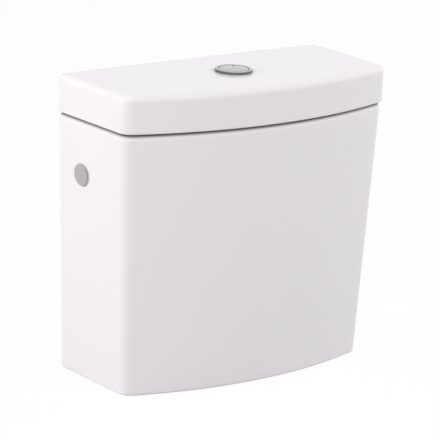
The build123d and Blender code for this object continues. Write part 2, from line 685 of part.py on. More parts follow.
def make_fill_valve_body():
    shank = rod(THREAD_R, SHANK_SEAT, SHANK_OUT) + hexagon(FLANGE_AF, SHANK_SEAT - FLANGE_T, SHANK_SEAT)
    relief = tube(THREAD_R + CUT, THREAD_R - RELIEF_DEPTH, INLET_NUT_H, INLET_NUT_H + RELIEF_W)
    shank = shank + rod(SHANK_NECK_R, -FILL_REACH, SHANK_SEAT) - relief
    body = on_side(1, shank) + rod(FILL_R, FILL_BOTTOM_Z, FILL_TOP_Z, FILL_X, SIDE_HOLE_Y)
    body += rod(FILL_HEAD_R, FILL_TOP_Z - FILL_HEAD_H, FILL_TOP_Z, FILL_X, SIDE_HOLE_Y)
    body += rod(SPIGOT_R, FILL_BOTTOM_Z - SPIGOT_L, FILL_BOTTOM_Z, FILL_X, SIDE_HOLE_Y)
    body -= on_side(1, rod(SHANK_BORE_R, -FILL_REACH, SHANK_OUT + CUT))
    body -= rod(CHAMBER_R, FILL_TOP_Z - CHAMBER_DEPTH, FILL_TOP_Z + CUT, FILL_X, SIDE_HOLE_Y)
    return body


def make_inlet_washer():
    return on_side(1, tube(INLET_WASHER_R, THREAD_R + ROD_FIT, SHANK_SEAT, -WALL_NORMAL_T))


def make_inlet_nut():
    nut = hexagon(INLET_NUT_AF, 0, INLET_NUT_H) - rod(THREAD_R + ROD_FIT, -CUT, INLET_NUT_H + CUT)
    return on_side(1, nut)


def make_inlet_filter():
    radius = SHANK_BORE_R - FILTER_GAP
    high = SHANK_OUT - FILTER_RIM
    low = high - FILTER_L
    body = rod(radius, low, high) - rod(radius - FILTER_WALL, low + FILTER_WALL, high + CUT)
    for turn in range(FILTER_SLOTS):
        slot = block((0, radius + CUT), (-FILTER_SLOT_W / 2, FILTER_SLOT_W / 2),
                     (low + 2 * FILTER_WALL, high - 2 * FILTER_WALL))
        body -= Rot(0, 0, turn * 360 / FILTER_SLOTS) * slot
    return on_side(1, body)


def make_diaphragm():
    low = FILL_TOP_Z - CHAMBER_DEPTH
    return rod(CHAMBER_R - SOFT_GAP, low, low + DIAPHRAGM_T, FILL_X, SIDE_HOLE_Y)


def make_fill_cap():
    """Screw cap over the diaphragm chamber, with a fork for the float lever."""
    high = FILL_TOP_Z + CAP_H - CAP_SKIRT
    body = rod(CAP_R, FILL_TOP_Z - CAP_SKIRT, high, FILL_X, SIDE_HOLE_Y)
    body -= rod(FILL_HEAD_R + ROD_FIT, FILL_TOP_Z - CAP_SKIRT - CUT, FILL_TOP_Z, FILL_X, SIDE_HOLE_Y)
    inner = LEVER_W / 2 + FORK_GAP
    for side in (-1, 1):
        y = (SIDE_HOLE_Y + side * inner, SIDE_HOLE_Y + side * (inner + FORK_T))
        x = (PIVOT_X - FORK_W / 2, PIVOT_X + FORK_W / 2)
        body += block(x, y, (FILL_TOP_Z + CUT, FILL_TOP_Z + FORK_H))
    ends = (SIDE_HOLE_Y - inner - FORK_T - CUT, SIDE_HOLE_Y + inner + FORK_T + CUT)
    return body - cross_pin(PIN_R + PIN_FIT / 2, PIVOT_X, PIVOT_Z, ends[0], ends[1])


def make_lever_pin():
    half = LEVER_W / 2 + FORK_GAP + FORK_T
    return cross_pin(PIN_R, PIVOT_X, PIVOT_Z, SIDE_HOLE_Y - half, SIDE_HOLE_Y + half)


def droop(part):
    """Turn a piece that is drawn at the full water level down to the empty level."""
    return Pos(PIVOT_X, 0, PIVOT_Z) * Rot(0, -DROOP_ANGLE, 0) * Pos(-PIVOT_X, 0, -PIVOT_Z) * part


ADJUSTER_X = PIVOT_X - LEVER_L


def make_float_lever():
    y = (SIDE_HOLE_Y - LEVER_W / 2, SIDE_HOLE_Y + LEVER_W / 2)
    z = (PIVOT_Z - LEVER_T / 2, PIVOT_Z + LEVER_T / 2)
    body = block((ADJUSTER_X, PIVOT_X), y, z)
    body += cross_pin(LEVER_HUB_R, PIVOT_X, PIVOT_Z, y[0], y[1])
    body += rod(LEVER_EYE_R, z[0], z[1], ADJUSTER_X, SIDE_HOLE_Y)
    body -= cross_pin(PIN_R + PIN_FIT, PIVOT_X, PIVOT_Z, y[0] - CUT, y[1] + CUT)
    body -= rod(ADJUSTER_R + ROD_FIT, z[0] - CUT, z[1] + CUT, ADJUSTER_X, SIDE_HOLE_Y)
    return droop(body)


ADJUSTER_Z = PIVOT_Z + LEVER_T / 2
FILL_FLOAT_Z = ADJUSTER_Z - ADJUSTER_L - FILL_FLOAT_H / 2


def make_float_adjuster():
    body = rod(ADJUSTER_R, ADJUSTER_Z - ADJUSTER_L, ADJUSTER_Z, ADJUSTER_X, SIDE_HOLE_Y)
    body += rod(ADJUSTER_HEAD_R, ADJUSTER_Z, ADJUSTER_Z + ADJUSTER_HEAD_H, ADJUSTER_X, SIDE_HOLE_Y)
    return droop(body)


def make_fill_float():
    body = rod(FILL_FLOAT_R, FILL_FLOAT_Z, FILL_FLOAT_Z + FILL_FLOAT_H, ADJUSTER_X, SIDE_HOLE_Y)
    body = fillet(body.edges().filter_by(GeomType.CIRCLE), FILL_FLOAT_ROUND)
    low = ADJUSTER_Z - ADJUSTER_L - CUT
    high = FILL_FLOAT_Z + FILL_FLOAT_H + CUT
    return droop(body - rod(ADJUSTER_R + ROD_FIT, low, high, ADJUSTER_X, SIDE_HOLE_Y))


def make_fill_tube():
    return tube(FILL_TUBE_R, FILL_TUBE_BORE_R, FILL_TUBE_TIP_Z, FILL_BOTTOM_Z, FILL_X, SIDE_HOLE_Y)


def make_blanking_plug():
    cap = rod(PLUG_R, 0, PLUG_CAP_T)
    cap = fillet(cap.edges().group_by(Axis.Z)[-1], PLUG_EDGE_ROUND)
    body = cap + rod(PLUG_STEM_R, -PLUG_STEM_L, CUT)
    return on_side(-1, body - rod(PLUG_BORE_R, -PLUG_STEM_L - CUT, -PLUG_CAP_T))


def make_plug_washer():
    low = -WALL_NORMAL_T - PLUG_WASHER_T
    return on_side(-1, tube(PLUG_WASHER_R, PLUG_STEM_R + ROD_FIT, low, -WALL_NORMAL_T))


def make_plug_nut():
    high = -WALL_NORMAL_T - PLUG_WASHER_T
    low = high - PLUG_NUT_H
    nut = hexagon(PLUG_NUT_AF, low, high) - rod(PLUG_STEM_R + ROD_FIT, low - CUT, high + CUT)
    return on_side(-1, nut)


def both_bolts(make_one):
    """The same small part at each of the two coupling bolts, as separate solids."""
    return Compound(children=[make_one(side * BOLT_SPACING / 2) for side in (-1, 1)])


PLATE_LOW_Z = SKIRT_H - PLATE_T
LOCK_NUT_Z = PLATE_LOW_Z - LOCK_NUT_H
BOLT_HEAD_Z = FLOOR_Z + CONE_H


def coupling_bolt(x):
    head = rod(BOLT_HEAD_R, BOLT_HEAD_Z, BOLT_HEAD_Z + BOLT_HEAD_H, x)
    body = fillet(head.edges().group_by(Axis.Z)[-1], BOLT_HEAD_ROUND)
    body += rod(BOLT_R, LOCK_NUT_Z, BOLT_HEAD_Z + CUT, x)
    body += rod(BOLT_R - RELIEF_DEPTH, LOCK_NUT_Z - RELIEF_W, LOCK_NUT_Z, x)
    return body + rod(BOLT_R, BOLT_TIP_Z, LOCK_NUT_Z - RELIEF_W, x)


def bolt_rubber_washer(x):
    cone = Pos(x, 0, FLOOR_Z + CONE_H / 2) * Cone(CONE_R, BOLT_HEAD_R, CONE_H)
    body = cone + rod(BOLT_HOLE_R - CONE_GAP, FLOOR_Z - CONE_SPIGOT, FLOOR_Z + CUT, x)
    return body - rod(BOLT_R + BOLT_FIT, FLOOR_Z - CONE_SPIGOT - CUT, BOLT_HEAD_Z + CUT, x)


def bolt_plate_washer(x):
    return tube(PLATE_R, BOLT_R + BOLT_FIT, PLATE_LOW_Z, SKIRT_H, x)


def bolt_lock_nut(x):
    nut = hexagon(LOCK_NUT_AF, LOCK_NUT_Z, PLATE_LOW_Z, x)
    return nut - rod(BOLT_R + BOLT_FIT, LOCK_NUT_Z - CUT, PLATE_LOW_Z + CUT, x)


PIECES = {
    "tank": make_tank,
    "lid": make_lid,
    "button_bezel": make_bezel,
    "bezel_gasket": make_bezel_gasket,
    "bezel_nut": make_bezel_nut,
    "full_flush_button": lambda: make_button("full"),
    "half_flush_button": lambda: make_button("half"),
    "full_push_rod": lambda: make_push_rod("full"),
    "half_push_rod": lambda: make_push_rod("half"),
    "full_button_spring": lambda: make_spring("full"),
    "half_button_spring": lambda: make_spring("half"),
    "flush_valve_base": make_flush_valve_base,
    "base_seal_washer": make_base_seal,
    "valve_back_nut": make_back_nut,
    "pan_seal": make_pan_seal,
    "valve_tower": make_tower,
    "rocker_bracket": make_rocker_bracket,
    "rocker_pins": make_rocker_pins,
    "full_rocker": lambda: make_rocker("full"),
    "half_rocker": lambda: make_rocker("half"),
    "overflow_tube": make_overflow_tube,
    "flush_seal": make_flush_seal,
    "seal_clamp_ring": make_seal_clamp,
    "full_flush_float": make_full_float,
    "lift_yoke": make_yoke,
    "half_float_slider": make_half_slider,
    "half_flush_float": make_half_float,
    "fill_valve_body": make_fill_valve_body,
    "inlet_washer": make_inlet_washer,
    "inlet_nut": make_inlet_nut,
    "inlet_filter": make_inlet_filter,
    "valve_diaphragm": make_diaphragm,
    "fill_valve_cap": make_fill_cap,
    "lever_pin": make_lever_pin,
    "float_lever": make_float_lever,
    "float_adjuster": make_float_adjuster,
    "fill_float": make_fill_float,
    "fill_tube": make_fill_tube,
    "blanking_plug": make_blanking_plug,
    "plug_washer": make_plug_washer,
    "plug_nut": make_plug_nut,
    "coupling_bolts": lambda: both_bolts(coupling_bolt),
    "bolt_rubber_washers": lambda: both_bolts(bolt_rubber_washer),
    "bolt_plate_washers": lambda: both_bolts(bolt_plate_washer),
    "bolt_lock_nuts": lambda: both_bolts(bolt_lock_nut),
}

for name, make in PIECES.items():
    export_step(make(), f"parts/{name}.step")
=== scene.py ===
"""Looks of a close-coupled toilet cistern: glazed china tank and lid, chrome button set, flush valve,
fill valve, fixings and a plain studio. Metres, +Z up, -Y towards the bowed front."""

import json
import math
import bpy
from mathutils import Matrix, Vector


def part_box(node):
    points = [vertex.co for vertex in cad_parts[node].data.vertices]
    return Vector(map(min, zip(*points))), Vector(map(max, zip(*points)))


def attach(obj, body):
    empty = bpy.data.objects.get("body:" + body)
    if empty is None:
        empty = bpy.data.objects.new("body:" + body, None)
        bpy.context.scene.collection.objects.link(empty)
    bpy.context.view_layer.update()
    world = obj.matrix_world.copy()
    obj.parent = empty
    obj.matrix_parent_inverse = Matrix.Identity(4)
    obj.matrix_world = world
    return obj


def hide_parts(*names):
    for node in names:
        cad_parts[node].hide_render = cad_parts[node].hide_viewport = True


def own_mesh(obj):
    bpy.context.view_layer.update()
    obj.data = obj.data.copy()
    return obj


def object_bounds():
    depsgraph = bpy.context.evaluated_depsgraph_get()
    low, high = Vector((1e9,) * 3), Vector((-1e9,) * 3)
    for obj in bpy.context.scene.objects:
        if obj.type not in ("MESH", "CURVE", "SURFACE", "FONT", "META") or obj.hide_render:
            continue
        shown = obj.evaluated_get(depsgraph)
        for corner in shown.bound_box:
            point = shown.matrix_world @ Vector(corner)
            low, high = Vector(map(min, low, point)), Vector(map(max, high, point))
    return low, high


bl_info = {
    "name": "Close-coupled cistern",
    "version": (1, 0, 0),
    "blender": (4, 5, 0),
    "location": "3D View > Sidebar > Cistern",
    "description": "Glazed china cistern with its button set, valves and fixings, in a plain studio",
    "category": "Add Mesh",
}

import bmesh
import bpy
from mathutils import Matrix, Vector

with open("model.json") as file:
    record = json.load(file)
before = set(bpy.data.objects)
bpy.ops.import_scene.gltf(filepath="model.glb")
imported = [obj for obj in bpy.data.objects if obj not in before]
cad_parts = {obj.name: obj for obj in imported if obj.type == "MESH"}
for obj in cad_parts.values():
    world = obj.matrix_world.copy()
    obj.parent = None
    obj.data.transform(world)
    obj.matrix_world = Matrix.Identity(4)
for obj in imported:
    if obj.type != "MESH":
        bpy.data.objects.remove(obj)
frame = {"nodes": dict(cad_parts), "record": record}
cad_low, cad_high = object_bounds()
tank_low, tank_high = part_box("tank")

MM = 0.001


def linear(code):
    """Turn an sRGB hex colour into linear RGBA."""
    channels = [int(code[start:start + 2], 16) / 255 for start in (1, 3, 5)]
    return [((channel + 0.055) / 1.055) ** 2.4 if channel > 0.04045 else channel / 12.92
            for channel in channels] + [1.0]


def length(name, description, default):
    """A size in metres that a user would change."""
    return bpy.props.FloatProperty(name=name, description=description, default=default, unit="LENGTH")


def colour(name, description, default):
    """A colour that a user would change, from its hex code."""
    return bpy.props.FloatVectorProperty(
        name=name, description=description, default=linear(default), size=4, subtype="COLOR", min=0, max=1)


def number(name, description, default):
    """A strength or share that a user would change."""
    return bpy.props.FloatProperty(name=name, description=description, default=default, min=0)


class TankSizes(bpy.types.PropertyGroup):
    """Sizes of the china tank and of the holes in it."""

    top_width: length("Top width", "Width over the rim", 386 * MM)
    foot_width: length("Foot width", "Width over the foot", 354 * MM)
    top_depth: length("Top side depth", "Depth of the sides at the rim", 137 * MM)
    foot_depth: length("Foot side depth", "Depth of the sides at the foot", 133.3 * MM)
    top_bow: length("Top bow", "How far the front swells at the rim", 35 * MM)
    foot_bow: length("Foot bow", "How far the front swells at the foot", 31 * MM)
    height: length("Height", "Foot to rim", tank_high.z)
    back: length("Back", "Where the flat back stands", tank_high.y)
    front_corner: length("Front corner", "Radius of the front corners in plan", 14 * MM)
    back_corner: length("Back corner", "Radius of the back corners in plan", 9 * MM)
    wall: length("Wall", "Thickness of the china", 9 * MM)
    skirt: length("Skirt", "Foot to the underside of the floor", 38 * MM)
    floor: length("Floor", "Thickness of the floor", 11 * MM)
    shoulder: length("Shoulder", "How far the rim's soft outer shoulder draws in", 7.3 * MM)
    shoulder_drop: length("Shoulder drop", "How far down the rim's outer shoulder starts", 9 * MM)
    inner_rim_round: length("Inner rim round", "Inner edge of the rim", 1.5 * MM)
    foot_round: length("Foot round", "Outer edge of the foot", 2.5 * MM)
    edge_round: length("Edge round", "Inner edge of the foot", 0.8 * MM)
    inner_round: length("Inner round", "Fillet where a wall meets the floor", 5 * MM)
    outlet_radius: length("Outlet hole", "Radius of the flush outlet's hole", 32 * MM)
    bolt_hole_radius: length("Bolt hole", "Radius of a coupling bolt's hole", 6.5 * MM)
    bolt_spacing: length("Bolt spacing", "Between the coupling bolts", 150 * MM)
    side_hole_radius: length("Side hole", "Radius of an inlet hole", 11.2 * MM)
    side_hole_drop: length("Side hole drop", "Rim down to the inlet holes", 66.5 * MM)
    side_hole_from_back: length("Side hole from back", "Back to the inlet holes", 52 * MM)


class LidSizes(bpy.types.PropertyGroup):
    """Sizes of the china lid, as it overhangs the tank."""

    overhang: length("Overhang", "How far each side stands out over the rim", 2 * MM)
    extra_depth: length("Extra depth", "Side depth beyond the tank's", 2.1 * MM)
    extra_bow: length("Extra bow", "Bow beyond the tank's", 0.5 * MM)
    front_corner: length("Front corner", "Radius of the front corners in plan", 17 * MM)
    edge: length("Edge", "Height of the lid's edge", 45 * MM)
    crown: length("Crown", "Rise of the top from its ends to its middle", 0.7 * MM)
    wall: length("Wall", "Thickness of the edge", 13 * MM)
    top: length("Top", "Thickness of the top", 9 * MM)
    top_round: length("Top round", "Soft upper edge", 8 * MM)
    foot_round: length("Foot round", "Lower outer edge", 1.8 * MM)
    hole_radius: length("Button hole", "Radius of the button's hole", 20.2 * MM)
    lug_length: length("Lug length", "Length of a locating rib", 30 * MM)
    lug_thickness: length("Lug thickness", "Thickness of a locating rib", 7 * MM)
    lug_drop: length("Lug drop", "How far a rib hangs inside the rim", 8 * MM)
    lug_lap: length("Lug lap", "How far a rib runs up the lid", 6 * MM)
    lug_gap: length("Lug gap", "Rib to the tank's inner wall", 3 * MM)


class CisternColours(bpy.types.PropertyGroup):
    """Colours of the finishes."""

    china: colour("China", "White opaque glaze", "#F4F0F4")
    bisque: colour("Bisque", "Unglazed fired clay of the foot", "#E4DDD0")
    # Painted shade: a dark grey painted into the glaze on the rim's shoulder under the lid, standing in for
    # the joint's shade.
    joint_shade: colour("Painted shade", "Dust in the joint under the lid", "#5A585A")
    chrome: colour("Chrome", "Bright chrome plate", "#B4B2B6")
    plug: colour("Plug", "Light grey moulded plug", "#B4B2B4")
    white: colour("White plastic", "White acetal mouldings", "#EDECE8")
    grey: colour("Grey plastic", "Grey mouldings", "#7F8487")
    blue: colour("Blue plastic", "Blue floats and rockers", "#2E6DA8")
    rubber: colour("Rubber", "Black nitrile rubber", "#1D1C1B")
    bloom: colour("Bloom", "Greyish bloom on the rubber", "#3A3936")
    foam: colour("Foam", "Black closed-cell foam rubber", "#2A2928")
    silicone: colour("Silicone", "Red silicone seals", "#A8402F")
    zinc: colour("Zinc", "Zinc plate on steel", "#C9C7BD")
    bluish_zinc: colour("Bluish zinc", "Patches in the zinc plate", "#BFC6CE")
    stainless: colour("Stainless", "Drawn stainless steel", "#BDBCBA")


class StudioLight(bpy.types.PropertyGroup):
    """Strengths of the studio's lamps and surround, and the floor's tones."""

    surround: number("Surround", "Strength of the white surround on the object", 0.3)
    left: number("Left lamp", "Power of the soft lamp at the left, in watts", 16.5)
    left_front: number("Left front lamp", "Power of the soft lamp at the left front, in watts", 25)
    left_rear: number("Left rear lamp", "Power of the soft lamp at the left rear, in watts", 45)
    front: number("Front lamp", "Power of the high soft lamp in front, in watts", 54)
    right: number("Right lamp", "Power of the soft lamp at the right, in watts", 61)
    floor_white_share: number("Floor white", "Share of plain white in the floor that is seen", 0.93)
    floor_bounce: colour("Floor bounce", "Tone of the floor as it lights the object", "#B6B6B6")
    floor_seen: colour("Floor seen", "Tone of the floor as the camera sees it", "#F9F9F9")


class CisternSettings(bpy.types.PropertyGroup):
    """Everything that a user of the cistern would change."""

    tank: bpy.props.PointerProperty(type=TankSizes)
    lid: bpy.props.PointerProperty(type=LidSizes)
    colours: bpy.props.PointerProperty(type=CisternColours)
    light: bpy.props.PointerProperty(type=StudioLight)


def settings():
    """The cistern's sizes, colours and light in the open scene."""
    return bpy.context.scene.cistern


def add(tree, kind, values=None, links=None, **options):
    """Add a node with its options, socket values and links. A linked node gives its first output."""
    node = tree.nodes.new(kind)
    for name, value in options.items():
        setattr(node, name, value)
    for key, value in (values or {}).items():
        node.inputs[key].default_value = value
    for key, source in (links or {}).items():
        tree.links.new(getattr(source, "outputs", [source])[0], node.inputs[key])
    return node


def emptied(owner):
    """The node tree of a material or world, with nothing in it."""
    owner.use_nodes = True
    owner.node_tree.nodes.clear()
    return owner.node_tree


# Finishes

def new_finish(name, roughness, metallic=0.0):
    """A material with one Principled shader. Gives its node tree, the shader and object coordinates."""
    material = bpy.data.materials.new(name)
    tree = emptied(material)
    shader = add(tree, "ShaderNodeBsdfPrincipled", {"Roughness": roughness, "Metallic": metallic})
    add(tree, "ShaderNodeOutputMaterial", links={"Surface": shader})
    coordinates = add(tree, "ShaderNodeTexCoord").outputs["Object"]
    return material, tree, shader, coordinates


def shade_of(base, share):
    """A colour darkened to this share of itself."""
    return [channel * share for channel in base[:3]] + [1.0]


def bump(tree, shader, height, relief):
    """Feed a height pattern, whose range is the relief in metres, to the shader's normal."""
    node = add(tree, "ShaderNodeBump", {"Strength": 1.0, "Distance": relief}, {"Height": height})
    tree.links.new(node.outputs[0], shader.inputs["Normal"])


def gloss(tree, shader, pattern, low, high):
    """Let the roughness run from low to high along a pattern."""
    spread = add(tree, "ShaderNodeMapRange", {"To Min": low, "To Max": high}, {"Value": pattern})
    tree.links.new(spread.outputs[0], shader.inputs["Roughness"])


def coat(tree, shader, pattern, first, second):
    """Let the base colour run from the first to the second along a pattern. Gives the mixed colour."""
    mix = add(tree, "ShaderNodeMix", {6: list(first), 7: list(second)}, {0: pattern}, data_type="RGBA")
    tree.links.new(mix.outputs[2], shader.inputs["Base Color"])
    return mix.outputs[2]


def tint(tree, shader, coordinates, base, patch_size, spread_share):
    """Let a base colour wander a little, in patches of this size. Gives the mixed colour."""
    patches = add(tree, "ShaderNodeTexNoise", {"Scale": 1 / patch_size, "Detail": 3.0},
                  {"Vector": coordinates})
    return coat(tree, shader, patches, shade_of(base, 1 - spread_share), base)


def bare_foot(tree, coordinates, height):
    """How bare the china is, 1 where it stood on the kiln shelf, and the colour of its speckled clay."""
    clay = settings().colours.bisque
    bare_height = 0.3 * MM
    glazed_height = 0.9 * MM
    speckle_size = 1.5 * MM
    bare = add(tree, "ShaderNodeMapRange", {"From Min": glazed_height, "From Max": bare_height},
               {"Value": height}, interpolation_type="SMOOTHSTEP")
    speckle = add(tree, "ShaderNodeTexNoise", {"Scale": 1 / speckle_size, "Detail": 4.0},
                  {"Vector": coordinates})
    mix = add(tree, "ShaderNodeMix", {6: shade_of(clay, 0.9), 7: list(clay)}, {0: speckle},
              data_type="RGBA")
    return bare, mix.outputs[2]


def painted_joint_shade(tree, height):
    """How much painted shade the china gets: where it faces upwards, from just below the rim down most of
    its shoulder.
    """
    first_drop = 0.4 * MM
    full_drop = 1.2 * MM
    last_drop = 6 * MM
    # Painted shade mask: upward-facing china from just below the rim down the shoulder, darkened in place
    # of the shade under the lid's edge.
    drop = add(tree, "ShaderNodeMath", {0: settings().tank.height}, {1: height}, operation="SUBTRACT")
    joint_shade = add(tree, "ShaderNodeMapRange", {"From Min": last_drop, "From Max": full_drop}, {"Value": drop},
               interpolation_type="SMOOTHSTEP")
    under_lid = add(tree, "ShaderNodeMath", {1: first_drop}, {0: drop}, operation="GREATER_THAN")
    normal = add(tree, "ShaderNodeNewGeometry").outputs["Normal"]
    facing = add(tree, "ShaderNodeSeparateXYZ", links={0: normal}).outputs["Z"]
    upwards = add(tree, "ShaderNodeMapRange", {"From Min": 0.05, "From Max": 0.25}, {"Value": facing})
    for limit in (upwards, under_lid):
        joint_shade = add(tree, "ShaderNodeMath", links={0: joint_shade, 1: limit}, operation="MULTIPLY")
    return joint_shade


def glazed_china():
    """Vitreous china, slip cast, sprayed with an opaque white glaze and fired. The glaze is glassy and
    very slightly wavy, and the foot that stood on the kiln shelf is bare, matt and warmer. A dark grey is
    painted on the rim's upward-facing shoulder in the joint under the lid: painted shade that draws the
    dark line there."""
    colours = settings().colours
    patch_size = 60 * MM
    wave_size = 22 * MM
    peel_size = 2.6 * MM
    relief = 0.06 * MM
    material, tree, shader, coordinates = new_finish("glazed_vitreous_china", 0.12)
    shader.inputs["IOR"].default_value = 1.52
    glaze = tint(tree, shader, coordinates, colours.china, patch_size, 0.012)
    height = add(tree, "ShaderNodeSeparateXYZ", links={0: coordinates}).outputs["Z"]
    bare, clay = bare_foot(tree, coordinates, height)
    surface = add(tree, "ShaderNodeMix", links={0: bare, 6: glaze, 7: clay}, data_type="RGBA").outputs[2]
    joint_shade = painted_joint_shade(tree, height)
    # Mix the painted shade's dark grey into the glaze colour.
    joint = add(tree, "ShaderNodeMix", {7: list(colours.joint_shade)}, {0: joint_shade, 6: surface}, data_type="RGBA")
    tree.links.new(joint.outputs[2], shader.inputs["Base Color"])
    gloss(tree, shader, bare, 0.1, 0.85)
    waves = add(tree, "ShaderNodeTexNoise", {"Scale": 1 / wave_size, "Detail": 1.0},
                {"Vector": coordinates})
    peel = add(tree, "ShaderNodeTexNoise", {"Scale": 1 / peel_size, "Detail": 2.0},
               {"Vector": coordinates})
    both = add(tree, "ShaderNodeMath", {1: 0.06}, {0: peel, 2: waves}, operation="MULTIPLY_ADD")
    bump(tree, shader, both, relief)
    return material


def bright_chrome():
    """Decorative chrome on ABS, electroplated: a mirror with faint polishing haze. Its colour is painted
    darker where the halves meet the collar and down the collar's wall: a painted reflection of the gap and
    the shaded glaze."""
    base = settings().colours.chrome
    collar_bore = 18 * MM
    collar_wall = 22.7 * MM
    wall_fade = 0.5 * MM
    gap_half = 0.3 * MM
    gap_fade = 1.1 * MM
    haze_size = 4 * MM
    wave_size = 9 * MM
    relief = 0.02 * MM
    material, tree, shader, coordinates = new_finish("chrome_plated_abs", 0.05, 1.0)
    # Painted reflection: a ring at the halves' gap and the collar's wall get a base colour at 0.4 of the
    # chrome, standing in for the dark gap and shaded glaze that the chrome would mirror.
    level = add(tree, "ShaderNodeVectorMath", {1: (1.0, 1.0, 0.0)}, {0: coordinates}, operation="MULTIPLY")
    radius = add(tree, "ShaderNodeVectorMath", links={0: level}, operation="LENGTH").outputs["Value"]
    from_gap = add(tree, "ShaderNodeMath", {1: collar_bore}, {0: radius}, operation="SUBTRACT")
    beside = add(tree, "ShaderNodeMath", links={0: from_gap}, operation="ABSOLUTE")
    clear = add(tree, "ShaderNodeMapRange", {"From Min": gap_half, "From Max": gap_fade}, {"Value": beside})
    inside = add(tree, "ShaderNodeMapRange", {"From Min": collar_wall, "From Max": collar_wall - wall_fade},
                 {"Value": radius})
    clear_of_painted_dark = add(tree, "ShaderNodeMath", links={0: clear, 1: inside}, operation="MULTIPLY")
    coat(tree, shader, clear_of_painted_dark, shade_of(base, 0.4), base)
    haze = add(tree, "ShaderNodeTexNoise", {"Scale": 1 / haze_size, "Detail": 3.0}, {"Vector": coordinates})
    gloss(tree, shader, haze, 0.03, 0.1)
    waves = add(tree, "ShaderNodeTexNoise", {"Scale": 1 / wave_size}, {"Vector": coordinates})
    bump(tree, shader, waves, relief)
    return material


def moulded_plastic(name, base, roughness, grain_size, relief):
    """Injection moulded plastic: spark-eroded grain from the mould, and faint flow patches."""
    flow_size = 14 * MM
    material, tree, shader, coordinates = new_finish(name, roughness)
    tint(tree, shader, coordinates, base, flow_size, 0.05)
    grain = add(tree, "ShaderNodeTexNoise", {"Scale": 1 / grain_size, "Detail": 2.0},
                {"Vector": coordinates})
    gloss(tree, shader, grain, roughness - 0.06, roughness + 0.08)
    bump(tree, shader, grain, relief)
    return material


def moulded_rubber():
    """Nitrile rubber, compression moulded: matt, with a greyish bloom."""
    colours = settings().colours
    bloom_size = 6 * MM
    grain_size = 0.8 * MM
    relief = 0.03 * MM
    material, tree, shader, coordinates = new_finish("nitrile_rubber", 0.7)
    bloom = add(tree, "ShaderNodeTexNoise", {"Scale": 1 / bloom_size, "Detail": 5.0},
                {"Vector": coordinates})
    coat(tree, shader, bloom, colours.rubber, colours.bloom)
    grain = add(tree, "ShaderNodeTexNoise", {"Scale": 1 / grain_size}, {"Vector": coordinates})
    bump(tree, shader, grain, relief)
    return material


def foam_rubber():
    """Closed-cell foam rubber, cut and moulded: tiny open cells at the skin, whose pits are painted darker
    as painted shade.
    """
    base = settings().colours.foam
    cell_size = 1.4 * MM
    relief = 0.3 * MM
    material, tree, shader, coordinates = new_finish("closed_cell_foam_rubber", 0.92)
    cells = add(tree, "ShaderNodeTexVoronoi", {"Scale": 1 / cell_size}, {"Vector": coordinates})
    # Painted shade: the colour darkens to half at each cell's middle, where the bump sinks a pit.
    coat(tree, shader, cells, shade_of(base, 0.5), base)
    bump(tree, shader, cells, relief)
    return material


def red_silicone():
    """Silicone rubber, moulded: soft, slightly see-through at its edges, with a satin skin."""
    depth = 1.5 * MM
    patch_size = 8 * MM
    grain_size = 1.1 * MM
    relief = 0.02 * MM
    material, tree, shader, coordinates = new_finish("silicone_rubber", 0.42)
    shader.inputs["Subsurface Weight"].default_value = 0.12
    shader.inputs["Subsurface Radius"].default_value = (1.0, 0.3, 0.2)
    shader.inputs["Subsurface Scale"].default_value = depth
    tint(tree, shader, coordinates, settings().colours.silicone, patch_size, 0.1)
    grain = add(tree, "ShaderNodeTexNoise", {"Scale": 1 / grain_size}, {"Vector": coordinates})
    bump(tree, shader, grain, relief)
    return material


def zinc_plate():
    """Bright zinc plate on steel, passivated: bluish and yellowish patches, and a fine crystalline haze."""
    colours = settings().colours
    patch_size = 5 * MM
    grain_size = 0.6 * MM
    relief = 0.02 * MM
    material, tree, shader, coordinates = new_finish("zinc_plated_steel", 0.34, 1.0)
    patches = add(tree, "ShaderNodeTexNoise", {"Scale": 1 / patch_size, "Detail": 3.0},
                  {"Vector": coordinates})
    coat(tree, shader, patches, colours.bluish_zinc, colours.zinc)
    grain = add(tree, "ShaderNodeTexNoise", {"Scale": 1 / grain_size}, {"Vector": coordinates})
    bump(tree, shader, grain, relief)
    return material


def drawn_stainless():
    """Stainless steel, drawn through a die: fine streaks along it."""
    streak_size = 0.5 * MM
    streak_share = 0.06
    relief = 0.01 * MM
    material, tree, shader, coordinates = new_finish("drawn_stainless_steel", 0.25, 1.0)
    shader.inputs["Base Color"].default_value = settings().colours.stainless
    stretch = add(tree, "ShaderNodeMapping", {"Scale": (1.0, streak_share, 1.0)}, {"Vector": coordinates})
    streaks = add(tree, "ShaderNodeTexNoise", {"Scale": 1 / streak_size}, {"Vector": stretch})
    gloss(tree, shader, streaks, 0.16, 0.36)
    bump(tree, shader, streaks, relief)
    return material


def plastic(slot):
    """A plastic by its slot: the material's name, base colour, roughness, grain size and relief."""
    colours = settings().colours
    name, base, roughness, grain_size, relief = {
        "white_plastic": ("acetal_white", colours.white, 0.32, 0.9 * MM, 0.012 * MM),
        "grey_plastic": ("polypropylene_grey", colours.grey, 0.42, 1.0 * MM, 0.02 * MM),
        "blue_plastic": ("polypropylene_blue", colours.blue, 0.38, 1.0 * MM, 0.02 * MM),
        "plug_grey": ("polypropylene_light_grey", colours.plug, 0.4, 0.9 * MM, 0.012 * MM),
    }[slot]
    return moulded_plastic(name, base, roughness, grain_size, relief)


FINISHES = {
    "china": glazed_china,
    "chrome": bright_chrome,
    "black_rubber": moulded_rubber,
    "pan_foam": foam_rubber,
    "silicone": red_silicone,
    "zinc_steel": zinc_plate,
    "stainless": drawn_stainless,
}
finish_cache = {}


def finish(slot):
    """The material for one of the record's slots, made once."""
    if slot not in finish_cache:
        finish_cache[slot] = FINISHES[slot]() if slot in FINISHES else plastic(slot)
    return finish_cache[slot]


